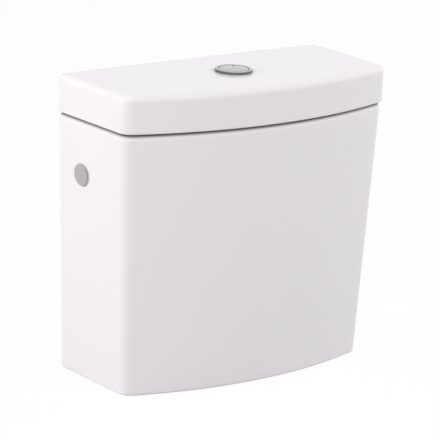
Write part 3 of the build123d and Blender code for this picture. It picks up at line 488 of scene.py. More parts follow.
def dress(*nodes):
    """Give carried-over nodes the finish of their slot."""
    slots = {part["node"]: part["material_slot"] for part in frame["record"]["subparts"]}
    for node in nodes:
        materials = frame["nodes"][node].data.materials
        materials.clear()
        materials.append(finish(slots[node]))


# Mesh helpers

OVERRUN = 1 * MM
DOUBLE_GAP = 0.002 * MM
SEAM_GAP = 0.001 * MM
LEAST_ROUND = 0.01 * MM
ROUND_ROOM = 2.5
BEND_STEPS = 4
TURN_STEPS = 64
FINE_TURN_STEPS = 96
SHARP_ANGLE = math.radians(32)


def placed(name, data):
    """An object with this data, in the scene."""
    item = bpy.data.objects.new(name, data)
    bpy.context.scene.collection.objects.link(item)
    return item


def make_piece(name, mesh, body, slot, node):
    """A finished piece at the origin, with its finish, which rides on a body and stands for a node."""
    piece = placed(name, mesh)
    mesh.materials.clear()
    mesh.materials.append(finish(slot))
    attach(piece, body)
    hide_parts(node)
    return piece


def baked(piece):
    """The mesh of an object with its modifiers, and the object removed."""
    depsgraph = bpy.context.evaluated_depsgraph_get()
    mesh = bpy.data.meshes.new_from_object(piece.evaluated_get(depsgraph), depsgraph=depsgraph)
    mesh.name = piece.name
    bpy.data.objects.remove(piece)
    return mesh


def plain_mesh(name, made):
    """A mesh from an edit mesh, which is freed."""
    mesh = bpy.data.meshes.new(name)
    made.to_mesh(mesh)
    made.free()
    return mesh


def outwards(mesh):
    """Merge doubles, point the faces outwards, and shade smooth up to the sharp angle."""
    made = bmesh.new()
    made.from_mesh(mesh)
    bmesh.ops.remove_doubles(made, verts=made.verts, dist=DOUBLE_GAP)
    bmesh.ops.dissolve_degenerate(made, edges=made.edges, dist=SEAM_GAP)
    bmesh.ops.recalc_face_normals(made, faces=made.faces)
    if made.calc_volume(signed=True) < 0:
        bmesh.ops.reverse_faces(made, faces=made.faces)
    for face in made.faces:
        face.smooth = True
    for edge in made.edges:
        edge.smooth = len(edge.link_faces) == 2 and edge.calc_face_angle() < SHARP_ANGLE
    made.to_mesh(mesh)
    made.free()
    return mesh


def turned(profile, steps=TURN_STEPS):
    """A solid turned about Z from a closed outline of (radius, height) points."""
    made = bmesh.new()
    angles = [2 * math.pi * step / steps for step in range(steps)]
    rings = []
    for radius, height in profile:
        rings.append([made.verts.new((radius * math.cos(angle), radius * math.sin(angle), height))
                      for angle in angles])
    for ring, following in zip(rings, rings[1:] + rings[:1]):
        for step in range(steps):
            after = (step + 1) % steps
            made.faces.new((ring[step], ring[after], following[after], following[step]))
    return outwards(plain_mesh("turned", made))


def rod(radius, low, high):
    """A plain cylinder about Z."""
    return turned([(0, low), (radius, low), (radius, high), (0, high)])


def rounded(corners, radius):
    """An outline of (radius, height) corners with each corner off the axis rounded, as far as its
    neighbours leave room."""
    points = []
    for index, corner in enumerate(corners):
        here = Vector(corner)
        before = Vector(corners[index - 1]) - here
        after = Vector(corners[(index + 1) % len(corners)]) - here
        reach = min(radius, before.length / ROUND_ROOM, after.length / ROUND_ROOM)
        if here.x < LEAST_ROUND or reach < LEAST_ROUND:
            points.append(tuple(here))
            continue
        start = here + before.normalized() * reach
        end = here + after.normalized() * reach
        for step in range(BEND_STEPS + 1):
            share = step / BEND_STEPS
            blend = start * (1 - share) ** 2 + here * (2 * share * (1 - share)) + end * share ** 2
            points.append(tuple(blend))
    return points


def box_mesh(low, high, radius):
    """A box with rounded edges."""
    made = bmesh.new()
    bmesh.ops.create_cube(made, size=1)
    middle = (Vector(low) + Vector(high)) / 2
    size = Vector(high) - Vector(low)
    fitted = Matrix.Translation(middle) @ Matrix.Diagonal((*size, 1))
    bmesh.ops.transform(made, matrix=fitted, verts=made.verts)
    bmesh.ops.bevel(made, geom=made.edges, offset=radius, segments=3, profile=0.5, affect="EDGES")
    return outwards(plain_mesh("box", made))


def combined(mesh, *others):
    """Add, cut or intersect solids, one after another."""
    for other, operation in others:
        base = placed("base", mesh)
        tool = placed("tool", other)
        modifier = base.modifiers.new("combine", "BOOLEAN")
        modifier.operation = operation
        modifier.object = tool
        modifier.solver = "EXACT"
        mesh = baked(base)
        bpy.data.objects.remove(tool)
    return outwards(mesh)


def moved(mesh, matrix):
    """A copy of a mesh in another place."""
    copy = mesh.copy()
    copy.transform(matrix)
    return copy


def joined(name, meshes):
    """Several separate solids in one mesh."""
    made = bmesh.new()
    for mesh in meshes:
        made.from_mesh(mesh)
    return outwards(plain_mesh(name, made))


# Node trees

THREAD_ROWS_PER_PITCH = 8
LEAST_THREAD_ROWS = 16
FLANK_SHARES = (0.08, 0.42)
WIRE_POINTS = 180
WIRE_SIDES = 12


def new_tree(name, inputs):
    """A geometry tree with named inputs. Gives the tree and its inputs."""
    tree = bpy.data.node_groups.new(name, "GeometryNodeTree")
    for label, kind in inputs:
        tree.interface.new_socket(label, in_out="INPUT", socket_type=f"NodeSocket{kind}")
    tree.interface.new_socket("Mesh", in_out="OUTPUT", socket_type="NodeSocketGeometry")
    return tree, add(tree, "NodeGroupInput").outputs


def end_tree(tree, geometry, material):
    """Realize, give the material, and send the result out."""
    smooth = add(tree, "GeometryNodeSetShadeSmooth", links={"Geometry": geometry})
    real = add(tree, "GeometryNodeRealizeInstances", links={"Geometry": smooth})
    painted = add(tree, "GeometryNodeSetMaterial", links={"Geometry": real, "Material": material})
    add(tree, "NodeGroupOutput", links={"Mesh": painted})


def run_tree(name, tree, values):
    """The mesh that a tree makes from these inputs."""
    holder = placed(name, bpy.data.meshes.new(name))
    modifier = holder.modifiers.new(tree.name, "NODES")
    modifier.node_group = tree
    for item in tree.interface.items_tree:
        if item.in_out == "INPUT" and item.name in values:
            modifier[item.identifier] = values[item.name]
    return outwards(baked(holder))


def wrapped_grid(tree, around, along):
    """A grid and the column and row of each point, where the last column and row fall on the first."""
    columns = add(tree, "ShaderNodeMath", {1: 1.0}, {0: around})
    rows = add(tree, "ShaderNodeMath", {1: 1.0}, {0: along})
    grid = add(tree, "GeometryNodeMeshGrid", links={
        "Size X": around, "Size Y": along, "Vertices X": columns, "Vertices Y": rows})
    place = add(tree, "ShaderNodeSeparateXYZ", links={0: add(tree, "GeometryNodeInputPosition")})
    counted = []
    for axis, total in (("X", around), ("Y", along)):
        shifted = add(tree, "ShaderNodeMath", {1: 0.5}, {0: total, 2: place.outputs[axis]},
                      operation="MULTIPLY_ADD")
        whole = add(tree, "ShaderNodeMath", links={0: shifted}, operation="ROUND")
        counted.append(add(tree, "ShaderNodeMath", links={0: whole, 1: total}, operation="FLOORED_MODULO"))
    return grid, counted[0], counted[1]


def end_grid(tree, grid, place, material):
    """Lay the grid's points in their places, close its seams, and end the tree."""
    shaped = add(tree, "GeometryNodeSetPosition", links={"Geometry": grid, "Position": place})
    closed = add(tree, "GeometryNodeMergeByDistance", {"Distance": SEAM_GAP}, {"Geometry": shaped})
    end_tree(tree, closed, material)


def polar_place(tree, turns, radius, height):
    """A place by its turns about Z, its radius and its height."""
    angle = add(tree, "ShaderNodeMath", {1: math.tau}, {0: turns}, operation="MULTIPLY")
    level = []
    for axis in ("COSINE", "SINE"):
        unit = add(tree, "ShaderNodeMath", links={0: angle}, operation=axis)
        level.append(add(tree, "ShaderNodeMath", links={0: unit, 1: radius}, operation="MULTIPLY"))
    return add(tree, "ShaderNodeCombineXYZ", links={0: level[0], 1: level[1], 2: height})


def shell_tree():
    """Carries a wall section round bowed plans. Rings holds five outlines: outer foot, outer rim, inner
    foot, inner rim and the hole. A section point gives the share of the way in, the share of the way to
    the hole, and the height, and its radius gives how far the crown lowers it."""
    tree, given = new_tree("china_shell", [
        ("Rings", "Object"), ("Section", "Object"), ("Around", "Int"), ("Along", "Int"),
        ("Height", "Float"), ("Crown", "Float"), ("Half Width", "Float"), ("Glaze", "Material")])
    grid, column, row = wrapped_grid(tree, given["Around"], given["Along"])
    rings = add(tree, "GeometryNodeObjectInfo", links={"Object": given["Rings"]}).outputs["Geometry"]
    section = add(tree, "GeometryNodeObjectInfo", links={"Object": given["Section"]}).outputs["Geometry"]
    position = add(tree, "GeometryNodeInputPosition")
    section_radius = add(tree, "GeometryNodeInputRadius")
    outlines = []
    for ring in range(5):
        index = add(tree, "ShaderNodeMath", {1: float(ring)}, {0: given["Around"], 2: column},
                    operation="MULTIPLY_ADD")
        outlines.append(add(tree, "GeometryNodeSampleIndex", links={
            "Geometry": rings, "Value": position, "Index": index}, data_type="FLOAT_VECTOR"))
    station = add(tree, "GeometryNodeSampleIndex", links={
        "Geometry": section, "Value": position, "Index": row}, data_type="FLOAT_VECTOR")
    lowered = add(tree, "GeometryNodeSampleIndex", links={
        "Geometry": section, "Value": section_radius, "Index": row}, data_type="FLOAT")
    share = add(tree, "ShaderNodeSeparateXYZ", links={0: station}).outputs
    rise = add(tree, "ShaderNodeMath", links={0: share["Z"], 1: given["Height"]}, operation="DIVIDE")
    free = {"data_type": "VECTOR", "clamp_factor": False}
    outer = add(tree, "ShaderNodeMix", links={0: rise, 4: outlines[0], 5: outlines[1]}, **free).outputs[1]
    inner = add(tree, "ShaderNodeMix", links={0: rise, 4: outlines[2], 5: outlines[3]}, **free).outputs[1]
    wall = add(tree, "ShaderNodeMix", links={0: share["X"], 4: outer, 5: inner}, **free).outputs[1]
    plan = add(tree, "ShaderNodeMix", links={0: share["Y"], 4: wall, 5: outlines[4]}, **free).outputs[1]
    flat = add(tree, "ShaderNodeSeparateXYZ", links={0: plan}).outputs
    across = add(tree, "ShaderNodeMath", links={0: flat["X"], 1: given["Half Width"]}, operation="DIVIDE")
    fall = across
    for factor in (across, given["Crown"], lowered):
        fall = add(tree, "ShaderNodeMath", links={0: fall, 1: factor}, operation="MULTIPLY")
    height = add(tree, "ShaderNodeMath", links={0: share["Z"], 1: fall}, operation="SUBTRACT")
    place = add(tree, "ShaderNodeCombineXYZ", links={0: flat["X"], 1: flat["Y"], 2: height})
    end_grid(tree, grid, place, given["Glaze"])
    return tree


def thread_tree():
    """A tube with a screw thread: the radius follows height over pitch less the turn, and both ends are
    chamfered down to the root. The first and last rows lie at the bore, the others on the thread."""
    tree, given = new_tree("screw_thread", [
        ("Radius", "Float"), ("Bore", "Float"), ("Pitch", "Float"), ("Depth", "Float"), ("Low", "Float"),
        ("High", "Float"), ("Around", "Int"), ("Along", "Int"), ("Finish", "Material")])
    grid, column, row = wrapped_grid(tree, given["Around"], given["Along"])
    thread_rows = add(tree, "ShaderNodeMath", {1: 3.0}, {0: given["Along"]}, operation="SUBTRACT")
    thread_row = add(tree, "ShaderNodeMath", {1: 1.0}, {0: row}, operation="SUBTRACT")
    along = add(tree, "ShaderNodeMath", links={0: thread_row, 1: thread_rows}, operation="DIVIDE",
                use_clamp=True)
    span = add(tree, "ShaderNodeMath", links={0: given["High"], 1: given["Low"]}, operation="SUBTRACT")
    height = add(tree, "ShaderNodeMath", links={0: along, 1: span, 2: given["Low"]},
                 operation="MULTIPLY_ADD")
    turn = add(tree, "ShaderNodeMath", links={0: column, 1: given["Around"]}, operation="DIVIDE")
    pitches = add(tree, "ShaderNodeMath", links={0: height, 1: given["Pitch"]}, operation="DIVIDE")
    phase = add(tree, "ShaderNodeMath", links={0: pitches, 1: turn}, operation="SUBTRACT")
    groove = add(tree, "ShaderNodeMath", {1: 0.5}, {0: phase}, operation="PINGPONG")
    cut = add(tree, "ShaderNodeMapRange", {"From Min": FLANK_SHARES[0], "From Max": FLANK_SHARES[1]},
              {"Value": groove})
    to_top = add(tree, "ShaderNodeMath", links={0: given["High"], 1: height}, operation="SUBTRACT")
    to_foot = add(tree, "ShaderNodeMath", links={0: height, 1: given["Low"]}, operation="SUBTRACT")
    nearest = add(tree, "ShaderNodeMath", links={0: to_top, 1: to_foot}, operation="MINIMUM")
    chamfer = add(tree, "ShaderNodeMapRange", {"To Min": 1.0, "To Max": 0.0},
                  {"Value": nearest, "From Max": given["Pitch"]})
    deepest = add(tree, "ShaderNodeMath", links={0: cut, 1: chamfer}, operation="MAXIMUM")
    sunk = add(tree, "ShaderNodeMath", links={0: deepest, 1: given["Depth"]}, operation="MULTIPLY")
    outside = add(tree, "ShaderNodeMath", links={0: given["Radius"], 1: sunk}, operation="SUBTRACT")
    final_row = add(tree, "ShaderNodeMath", {1: 1.5}, {0: given["Along"]}, operation="SUBTRACT")
    at_foot = add(tree, "ShaderNodeMath", {1: 0.5}, {0: row}, operation="LESS_THAN")
    at_top = add(tree, "ShaderNodeMath", links={0: row, 1: final_row}, operation="GREATER_THAN")
    at_end = add(tree, "ShaderNodeMath", links={0: at_foot, 1: at_top}, operation="MAXIMUM")
    radius = add(tree, "ShaderNodeMix", links={0: at_end, 2: outside, 3: given["Bore"]}, data_type="FLOAT")
    end_grid(tree, grid, polar_place(tree, turn, radius, height), given["Finish"])
    return tree


def spring_tree():
    """A compression spring: wire along a helix whose pitch eases to nothing at both ends."""
    tree, given = new_tree("compression_spring", [
        ("Radius", "Float"), ("Wire", "Float"), ("Turns", "Float"), ("Low", "Float"), ("High", "Float"),
        ("Finish", "Material")])
    line = add(tree, "GeometryNodeCurvePrimitiveLine")
    points = add(tree, "GeometryNodeResampleCurve", {"Count": WIRE_POINTS}, {"Curve": line})
    along = add(tree, "GeometryNodeSplineParameter").outputs["Factor"]
    turns = add(tree, "ShaderNodeMath", links={0: along, 1: given["Turns"]}, operation="MULTIPLY")
    low = add(tree, "ShaderNodeMath", links={0: given["Low"], 1: given["Wire"]})
    high = add(tree, "ShaderNodeMath", links={0: given["High"], 1: given["Wire"]}, operation="SUBTRACT")
    height = add(tree, "ShaderNodeMapRange", links={"Value": along, "To Min": low, "To Max": high},
                 interpolation_type="SMOOTHSTEP")
    place = polar_place(tree, turns, given["Radius"], height)
    wound = add(tree, "GeometryNodeSetPosition", links={"Geometry": points, "Position": place})
    section = add(tree, "GeometryNodeCurvePrimitiveCircle", {"Resolution": WIRE_SIDES},
                  {"Radius": given["Wire"]})
    wire = add(tree, "GeometryNodeCurveToMesh", {"Fill Caps": True},
               {"Curve": wound, "Profile Curve": section})
    end_tree(tree, wire, given["Finish"])
    return tree


def threaded(radius, bore, pitch, depth, low, high, slot):
    """A threaded tube along Z."""
    rows = max(LEAST_THREAD_ROWS, round((high - low) / pitch * THREAD_ROWS_PER_PITCH))
    tree = bpy.data.node_groups.get("screw_thread") or thread_tree()
    return run_tree("thread", tree, {
        "Radius": radius, "Bore": bore, "Pitch": pitch, "Depth": depth, "Low": low, "High": high,
        "Around": TURN_STEPS, "Along": rows, "Finish": finish(slot)})


# China

ARC_STEPS = 22
CORNER_STEPS = 10
SIDE_STEPS = 10
BACK_STEPS = 14
FLOOR_STEPS = 10
TOP_STEPS = 14
WALL_END = 1.5 * MM
LUG_SHARES = (-0.16, 0.4)
LUG_ROUND = 1.2 * MM
LUG_ROOT_ROUND = 0.4 * MM


def line_steps(start, end, steps):
    """Even steps from the start, without the end."""
    return [start + (end - start) * step / steps for step in range(steps)]


def bowed_outline(width, side_depth, bow, inset, front_round):
    """Plan with a flat back, straight sides and a bowed front, drawn in by inset with its corners in
    proportion, as points from the middle of the front, round to the right."""
    tank = settings().tank
    bow_radius = ((width / 2) ** 2 + bow ** 2) / (2 * bow)
    centre_y = tank.back - side_depth - bow + bow_radius
    half = width / 2 - inset
    radius = bow_radius - inset
    back = tank.back - inset
    corner_share = 1 - inset / (front_round + tank.back_corner)
    front_round = front_round * corner_share
    back_round = tank.back_corner * corner_share
    corner_x = half - front_round
    corner_y = centre_y - math.sqrt((radius - front_round) ** 2 - corner_x ** 2)
    turn = math.atan2(corner_y - centre_y, corner_x)
    points = []
    for angle in line_steps(-math.pi / 2, turn, ARC_STEPS):
        points.append((radius * math.cos(angle), centre_y + radius * math.sin(angle)))
    for angle in line_steps(turn, 0, CORNER_STEPS):
        points.append((corner_x + front_round * math.cos(angle), corner_y + front_round * math.sin(angle)))
    for y in line_steps(corner_y, back - back_round, SIDE_STEPS):
        points.append((half, y))
    for angle in line_steps(0, math.pi / 2, CORNER_STEPS):
        points.append((half - back_round + back_round * math.cos(angle),
                       back - back_round + back_round * math.sin(angle)))
    for x in line_steps(half - back_round, 0, BACK_STEPS):
        points.append((x, back))
    left = [(-x, y) for x, y in reversed(points[1:])]
    return points + [(0, back)] + left


def hole_outline(outline, radius):
    """A round hole at the origin, with a point towards each point of the outline."""
    angles = [math.atan2(y, x) for x, y in outline]
    return [(radius * math.cos(angle), radius * math.sin(angle)) for angle in angles]


def points_curve(name, splines, radii=None):
    """Straight-sided splines through these points, in one curve object."""
    curve = bpy.data.curves.new(name, "CURVE")
    curve.dimensions = "3D"
    for points in splines:
        spline = curve.splines.new("POLY")
        spline.points.add(len(points) - 1)
        for index, point in enumerate(points):
            spline.points[index].co = (*point, 0, 1) if len(point) == 2 else (*point, 1)
            spline.points[index].radius = radii[index] if radii else 1
    return placed(name, curve)


def arc_steps(centre, radius, start, end, steps=8, tallness=1):
    """Points of a section's round, between two angles in degrees."""
    angles = [math.radians(angle) for angle in line_steps(start, end, steps)]
    return [(centre[0] + radius * math.cos(angle), centre[1] + radius * tallness * math.sin(angle))
            for angle in angles]


def wall_steps(inset, low, high, steps):
    """Points up or down a wall, with one close to each end to keep the wall's shading flat."""
    near = math.copysign(WALL_END, high - low)
    inner = line_steps(low + near, high - near, steps) + [high - near]
    return [(inset, z) for z in [low, *inner]]


def to_hole(inset, z, start, end, steps):
    """Points at one height, by their shares of the way to the hole."""
    return [(inset, share, z) for share in line_steps(start, end, steps)]


def away_from_hole(points):
    """Points of a wall, which have no share of the way to the hole."""
    return [(inset, 0.0, z) for inset, z in points]


def shell(name, outlines, section, wall, height, crown, lowered):
    """Carry a section of (inset, hole share, height) points round the outlines."""
    rings = points_curve("rings", outlines)
    stations = points_curve("section", [[(inset / wall, share, z) for inset, share, z in section]], lowered)
    tree = bpy.data.node_groups.get("china_shell") or shell_tree()
    mesh = run_tree(name, tree, {
        "Rings": rings, "Section": stations, "Around": len(outlines[0]), "Along": len(section),
        "Height": height, "Crown": crown, "Half Width": max(x for x, y in outlines[1]),
        "Glaze": finish("china")})
    for helper in (rings, stations):
        bpy.data.objects.remove(helper)
    return mesh


def tank_plan(share, inset):
    """The tank's outline at a share of its height."""
    tank = settings().tank
    width = tank.foot_width + (tank.top_width - tank.foot_width) * share
    depth = tank.foot_depth + (tank.top_depth - tank.foot_depth) * share
    bow = tank.foot_bow + (tank.top_bow - tank.foot_bow) * share
    return bowed_outline(width, depth, bow, inset, tank.front_corner)


def tank_section():
    """Section of the wall from the outlet hole over the floor, up, over the rim, down, and back under."""
    tank = settings().tank
    floor_top = tank.skirt + tank.floor
    inside = tank.wall + tank.inner_round
    inner_foot = floor_top + tank.inner_round
    inner_top = tank.height - tank.inner_rim_round
    rim_inset = tank.wall - tank.inner_rim_round
    shoulder_foot = tank.height - tank.shoulder_drop
    skirt_top = tank.skirt - tank.inner_round
    edge = tank.edge_round
    up = arc_steps((inside, inner_foot), tank.inner_round, 270, 180)
    up += wall_steps(tank.wall, inner_foot, inner_top, steps=10)
    up += arc_steps((rim_inset, inner_top), tank.inner_rim_round, 0, 90, steps=5)
    up += [(rim_inset, tank.height)]
    tallness = tank.shoulder_drop / tank.shoulder
    down = arc_steps((tank.shoulder, shoulder_foot), tank.shoulder, 90, 180, steps=12, tallness=tallness)
    down += wall_steps(0, shoulder_foot, tank.foot_round, steps=16)
    down += arc_steps((tank.foot_round, tank.foot_round), tank.foot_round, 180, 270, steps=6)
    down += [(tank.foot_round, 0)]
    under = arc_steps((tank.wall - edge, edge), edge, 270, 360, steps=4)
    under += wall_steps(tank.wall, edge, skirt_top, steps=3)
    under += arc_steps((inside, skirt_top), tank.inner_round, 180, 90)
    points = to_hole(inside, floor_top, 1, 0, FLOOR_STEPS)
    points += away_from_hole(up + down + under)
    points += to_hole(inside, tank.skirt, 0, 1, FLOOR_STEPS)
    points += [(inside, 1.0, z) for z in line_steps(tank.skirt, floor_top, steps=2)]
    return points


def side_place(sign):
    """Where a fitting stands on a leaning side wall, with its axis pointing outwards."""
    tank = settings().tank
    lean = (tank.top_width - tank.foot_width) / 2 / tank.height
    height = tank.height - tank.side_hole_drop
    half = tank.foot_width / 2 + lean * height
    out = Vector((sign, 0, -lean)).normalized()
    along = Vector((0, 1, 0))
    turn = Matrix((along, out.cross(along), out)).transposed().to_4x4()
    return Matrix.Translation((sign * half, tank.back - tank.side_hole_from_back, height)) @ turn


class CISTERN_OT_tank(bpy.types.Operator):
    """Make the glazed china tank"""

    bl_idname = "cistern.tank"
    bl_label = "Tank"

    def execute(self, context):
        tank = settings().tank
        outlines = [tank_plan(0, 0), tank_plan(1, 0), tank_plan(0, tank.wall), tank_plan(1, tank.wall)]
        outlines.append(hole_outline(outlines[2], tank.outlet_radius))
        section = tank_section()
        mesh = shell("tank_china", outlines, section, tank.wall, tank.height, 0, [0] * len(section))
        bolt_hole = rod(tank.bolt_hole_radius, tank.skirt - OVERRUN, tank.skirt + tank.floor + OVERRUN)
        inlet_hole = rod(tank.side_hole_radius, -tank.wall - OVERRUN, OVERRUN)
        cuts = []
        for side in (-1, 1):
            bolt_place = Matrix.Translation((side * tank.bolt_spacing / 2, 0, 0))
            cuts.append((moved(bolt_hole, bolt_place), "DIFFERENCE"))
            cuts.append((moved(inlet_hole, side_place(side)), "DIFFERENCE"))
        make_piece("tank_china", combined(mesh, *cuts), "cistern", "china", "tank")
        return {"FINISHED"}


def lid_section():
    """Section of the lid from the button hole over the top, down its edge, and back underneath. Gives the
    points and how far the crown lowers each."""
    tank = settings().tank
    lid = settings().lid
    foot = tank.height
    top = foot + lid.edge + lid.crown
    under = foot + lid.edge - lid.top
    inside = lid.wall + tank.inner_round
    edge_foot = foot + lid.foot_round
    inner_foot = foot + tank.edge_round
    inner_top = under - tank.inner_round
    edge_top = top - lid.top_round
    over = to_hole(lid.top_round, top, 1, 0, TOP_STEPS)
    over += away_from_hole(arc_steps((lid.top_round, edge_top), lid.top_round, 90, 180, steps=10))
    down = away_from_hole(wall_steps(0, edge_top, edge_foot, steps=5))
    low = arc_steps((lid.foot_round, edge_foot), lid.foot_round, 180, 270, steps=5)
    low += [(lid.foot_round, foot)]
    low += arc_steps((lid.wall - tank.edge_round, inner_foot), tank.edge_round, 270, 360, steps=4)
    low += wall_steps(lid.wall, inner_foot, inner_top, steps=3)
    low += arc_steps((inside, inner_top), tank.inner_round, 180, 90)
    low = away_from_hole(low) + to_hole(inside, under, 0, 1, TOP_STEPS) + [(inside, 1.0, under)]
    lowered = [1.0] * len(over)
    lowered += [(z - foot - lid.foot_round) / (top - foot - lid.foot_round) for inset, share, z in down]
    lowered += [0.0] * len(low)
    return over + down + low, lowered


def lid_lugs():
    """The lid's four locating ribs: each hangs inside the rim, and its root runs out into the edge."""
    tank = settings().tank
    lid = settings().lid
    reach = tank.top_width / 2 - tank.wall - lid.lug_gap
    half = lid.lug_length / 2
    lap_top = tank.height + lid.lug_lap
    lugs = []
    for side in (-1, 1):
        for share in LUG_SHARES:
            middle = share * tank.top_depth
            inner_end = side * (reach - lid.lug_thickness)
            for outer_end, foot, radius in (
                (side * reach, tank.height - lid.lug_drop, LUG_ROUND),
                (side * (reach + lid.lug_lap), tank.height + OVERRUN, LUG_ROOT_ROUND),
            ):
                low = (min(inner_end, outer_end), middle - half, foot)
                high = (max(inner_end, outer_end), middle + half, lap_top)
                lugs.append(box_mesh(low, high, radius))
    return lugs


class CISTERN_OT_lid(bpy.types.Operator):
    """Make the loose glazed china lid with its locating ribs"""

    bl_idname = "cistern.lid"
    bl_label = "Lid"

    def execute(self, context):
        tank = settings().tank
        lid = settings().lid
        width = tank.top_width + 2 * lid.overhang
        depth = tank.top_depth + lid.extra_depth
        bow = tank.top_bow + lid.extra_bow
        outer = bowed_outline(width, depth, bow, 0, lid.front_corner)
        inner = bowed_outline(width, depth, bow, lid.wall, lid.front_corner)
        section, lowered = lid_section()
        outlines = [outer, outer, inner, inner, hole_outline(inner, lid.hole_radius)]
        mesh = shell("lid_china", outlines, section, lid.wall, tank.height, lid.crown, lowered)
        mesh = combined(mesh, *[(lug, "UNION") for lug in lid_lugs()])
        make_piece("lid_china", mesh, "lid", "china", "lid")
        return {"FINISHED"}


# Fittings

SPRING_WIRE = 0.45 * MM
SPRING_TURNS = 5.0

FOAM_BORE = 31.5 * MM
FOAM_TAPER = 6 * MM
FOAM_ROUND = 3 * MM

PLUG_RADIUS = 13.4 * MM
PLUG_THICKNESS = 2.4 * MM
PLUG_ROUND = 1.0 * MM
PLUG_SPIGOT_RADIUS = 9.6 * MM
PLUG_SPIGOT_LENGTH = 1 * MM
PLUG_STEM_RADIUS = 9.8 * MM
PLUG_STEM_BORE = 6.5 * MM
PLUG_STEM_LENGTH = 26 * MM
PLUG_PITCH = 1.8 * MM
PLUG_THREAD_DEPTH = 0.8 * MM

BOLT_HEAD_RADIUS = 8 * MM
BOLT_HEAD_HEIGHT = 4 * MM
BOLT_HEAD_ROUND = 1.2 * MM
BOLT_SHANK_RADIUS = 3.6 * MM
BOLT_SHANK_LENGTH = 6 * MM
BOLT_THREAD_START = 5 * MM
BOLT_THREAD_RADIUS = 4 * MM
BOLT_THREAD_DEPTH = 0.6 * MM
BOLT_PITCH = 1.25 * MM
BOLT_SLOT_HALF = 0.8 * MM
BOLT_SLOT_DEPTH = 1.4 * MM
BOLT_SLOT_ROUND = 0.1 * MM


class CISTERN_OT_buttons(bpy.types.Operator):
    """Finish the chrome button set and make its two return springs"""

    bl_idname = "cistern.buttons"
    bl_label = "Buttons"

    def execute(self, context):
        dress("button_bezel", "full_flush_button", "half_flush_button", "bezel_gasket", "bezel_nut",
              "full_push_rod", "half_push_rod")
        tree = spring_tree()
        for which in ("full", "half"):
            node = f"{which}_button_spring"
            low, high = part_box(node)
            middle = (low + high) / 2
            mesh = run_tree(f"{node}_wire", tree, {
                "Radius": (high.x - low.x) / 2 - SPRING_WIRE, "Wire": SPRING_WIRE, "Turns": SPRING_TURNS,
                "Low": low.z, "High": high.z, "Finish": finish("stainless")})
            mesh.transform(Matrix.Translation((middle.x, middle.y, 0)))
            piece = make_piece(f"{node}_wire", mesh, "lid", "stainless", node)
            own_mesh(piece)
        return {"FINISHED"}


class CISTERN_OT_flush_valve(bpy.types.Operator):
    """Finish the flush valve and make the foam ring that seals it to the pan"""

    bl_idname = "cistern.flush_valve"
    bl_label = "Flush valve"

    def execute(self, context):
        dress("flush_valve_base", "base_seal_washer", "valve_back_nut", "valve_tower", "rocker_bracket",
              "rocker_pins", "full_rocker", "half_rocker", "overflow_tube", "flush_seal", "seal_clamp_ring",
              "full_flush_float", "lift_yoke", "half_float_slider", "half_flush_float")
        low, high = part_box("pan_seal")
        outer = high.x
        middle = (low.z + high.z) / 2
        outline = rounded([(FOAM_BORE, low.z), (outer - FOAM_TAPER, low.z), (outer, middle),
                           (outer, high.z), (FOAM_BORE, high.z)], FOAM_ROUND)
        piece = make_piece("pan_seal_foam", turned(outline, FINE_TURN_STEPS), "cistern", "pan_foam",
                           "pan_seal")
        return {"FINISHED"}


class CISTERN_OT_fill_valve(bpy.types.Operator):
    """Finish the side entry fill valve with its float"""

    bl_idname = "cistern.fill_valve"
    bl_label = "Fill valve"

    def execute(self, context):
        dress("fill_valve_body", "inlet_washer", "inlet_nut", "inlet_filter", "valve_diaphragm",
              "fill_valve_cap", "lever_pin", "float_lever", "float_adjuster", "fill_float", "fill_tube")
        return {"FINISHED"}


class CISTERN_OT_blanking_plug(bpy.types.Operator):
    """Make the plug that closes the unused inlet hole, and finish its washer and nut"""

    bl_idname = "cistern.blanking_plug"
    bl_label = "Blanking plug"

    def execute(self, context):
        dress("plug_washer", "plug_nut")
        face = rounded([(0, -PLUG_SPIGOT_LENGTH), (PLUG_SPIGOT_RADIUS, -PLUG_SPIGOT_LENGTH),
                        (PLUG_SPIGOT_RADIUS, 0), (PLUG_RADIUS, 0), (PLUG_RADIUS, PLUG_THICKNESS),
                        (0, PLUG_THICKNESS)], PLUG_ROUND)
        stem = threaded(PLUG_STEM_RADIUS, PLUG_STEM_BORE, PLUG_PITCH, PLUG_THREAD_DEPTH,
                        -PLUG_STEM_LENGTH, 0, "plug_grey")
        mesh = combined(turned(face, FINE_TURN_STEPS), (stem, "UNION"))
        mesh.transform(side_place(-1))
        make_piece("blanking_plug_cap", mesh, "cistern", "plug_grey", "blanking_plug")
        return {"FINISHED"}


class CISTERN_OT_coupling_bolts(bpy.types.Operator):
    """Make the two threaded coupling bolts and finish their washers and nuts"""

    bl_idname = "cistern.coupling_bolts"
    bl_label = "Coupling bolts"

    def execute(self, context):
        dress("bolt_rubber_washers", "bolt_plate_washers", "bolt_lock_nuts")
        low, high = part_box("coupling_bolts")
        head = BOLT_HEAD_RADIUS
        under_head = high.z - BOLT_HEAD_HEIGHT
        shank_foot = under_head - BOLT_SHANK_LENGTH
        top = rounded([(0, shank_foot), (BOLT_SHANK_RADIUS, shank_foot), (BOLT_SHANK_RADIUS, under_head),
                       (head, under_head), (head, high.z), (0, high.z)], BOLT_HEAD_ROUND)
        slot = box_mesh((-head, -BOLT_SLOT_HALF, high.z - BOLT_SLOT_DEPTH),
                        (head, BOLT_SLOT_HALF, high.z + OVERRUN), BOLT_SLOT_ROUND)
        thread = threaded(BOLT_THREAD_RADIUS, 0, BOLT_PITCH, BOLT_THREAD_DEPTH, low.z,
                          under_head - BOLT_THREAD_START, "zinc_steel")
        bolt = combined(turned(top), (slot, "DIFFERENCE"), (thread, "UNION"))
        half = settings().tank.bolt_spacing / 2
        bolts = [moved(bolt, Matrix.Translation((side * half, 0, 0))) for side in (-1, 1)]
        make_piece("coupling_bolts_threaded", joined("coupling_bolts", bolts), "cistern", "zinc_steel",
                   "coupling_bolts")
        return {"FINISHED"}


# Studio

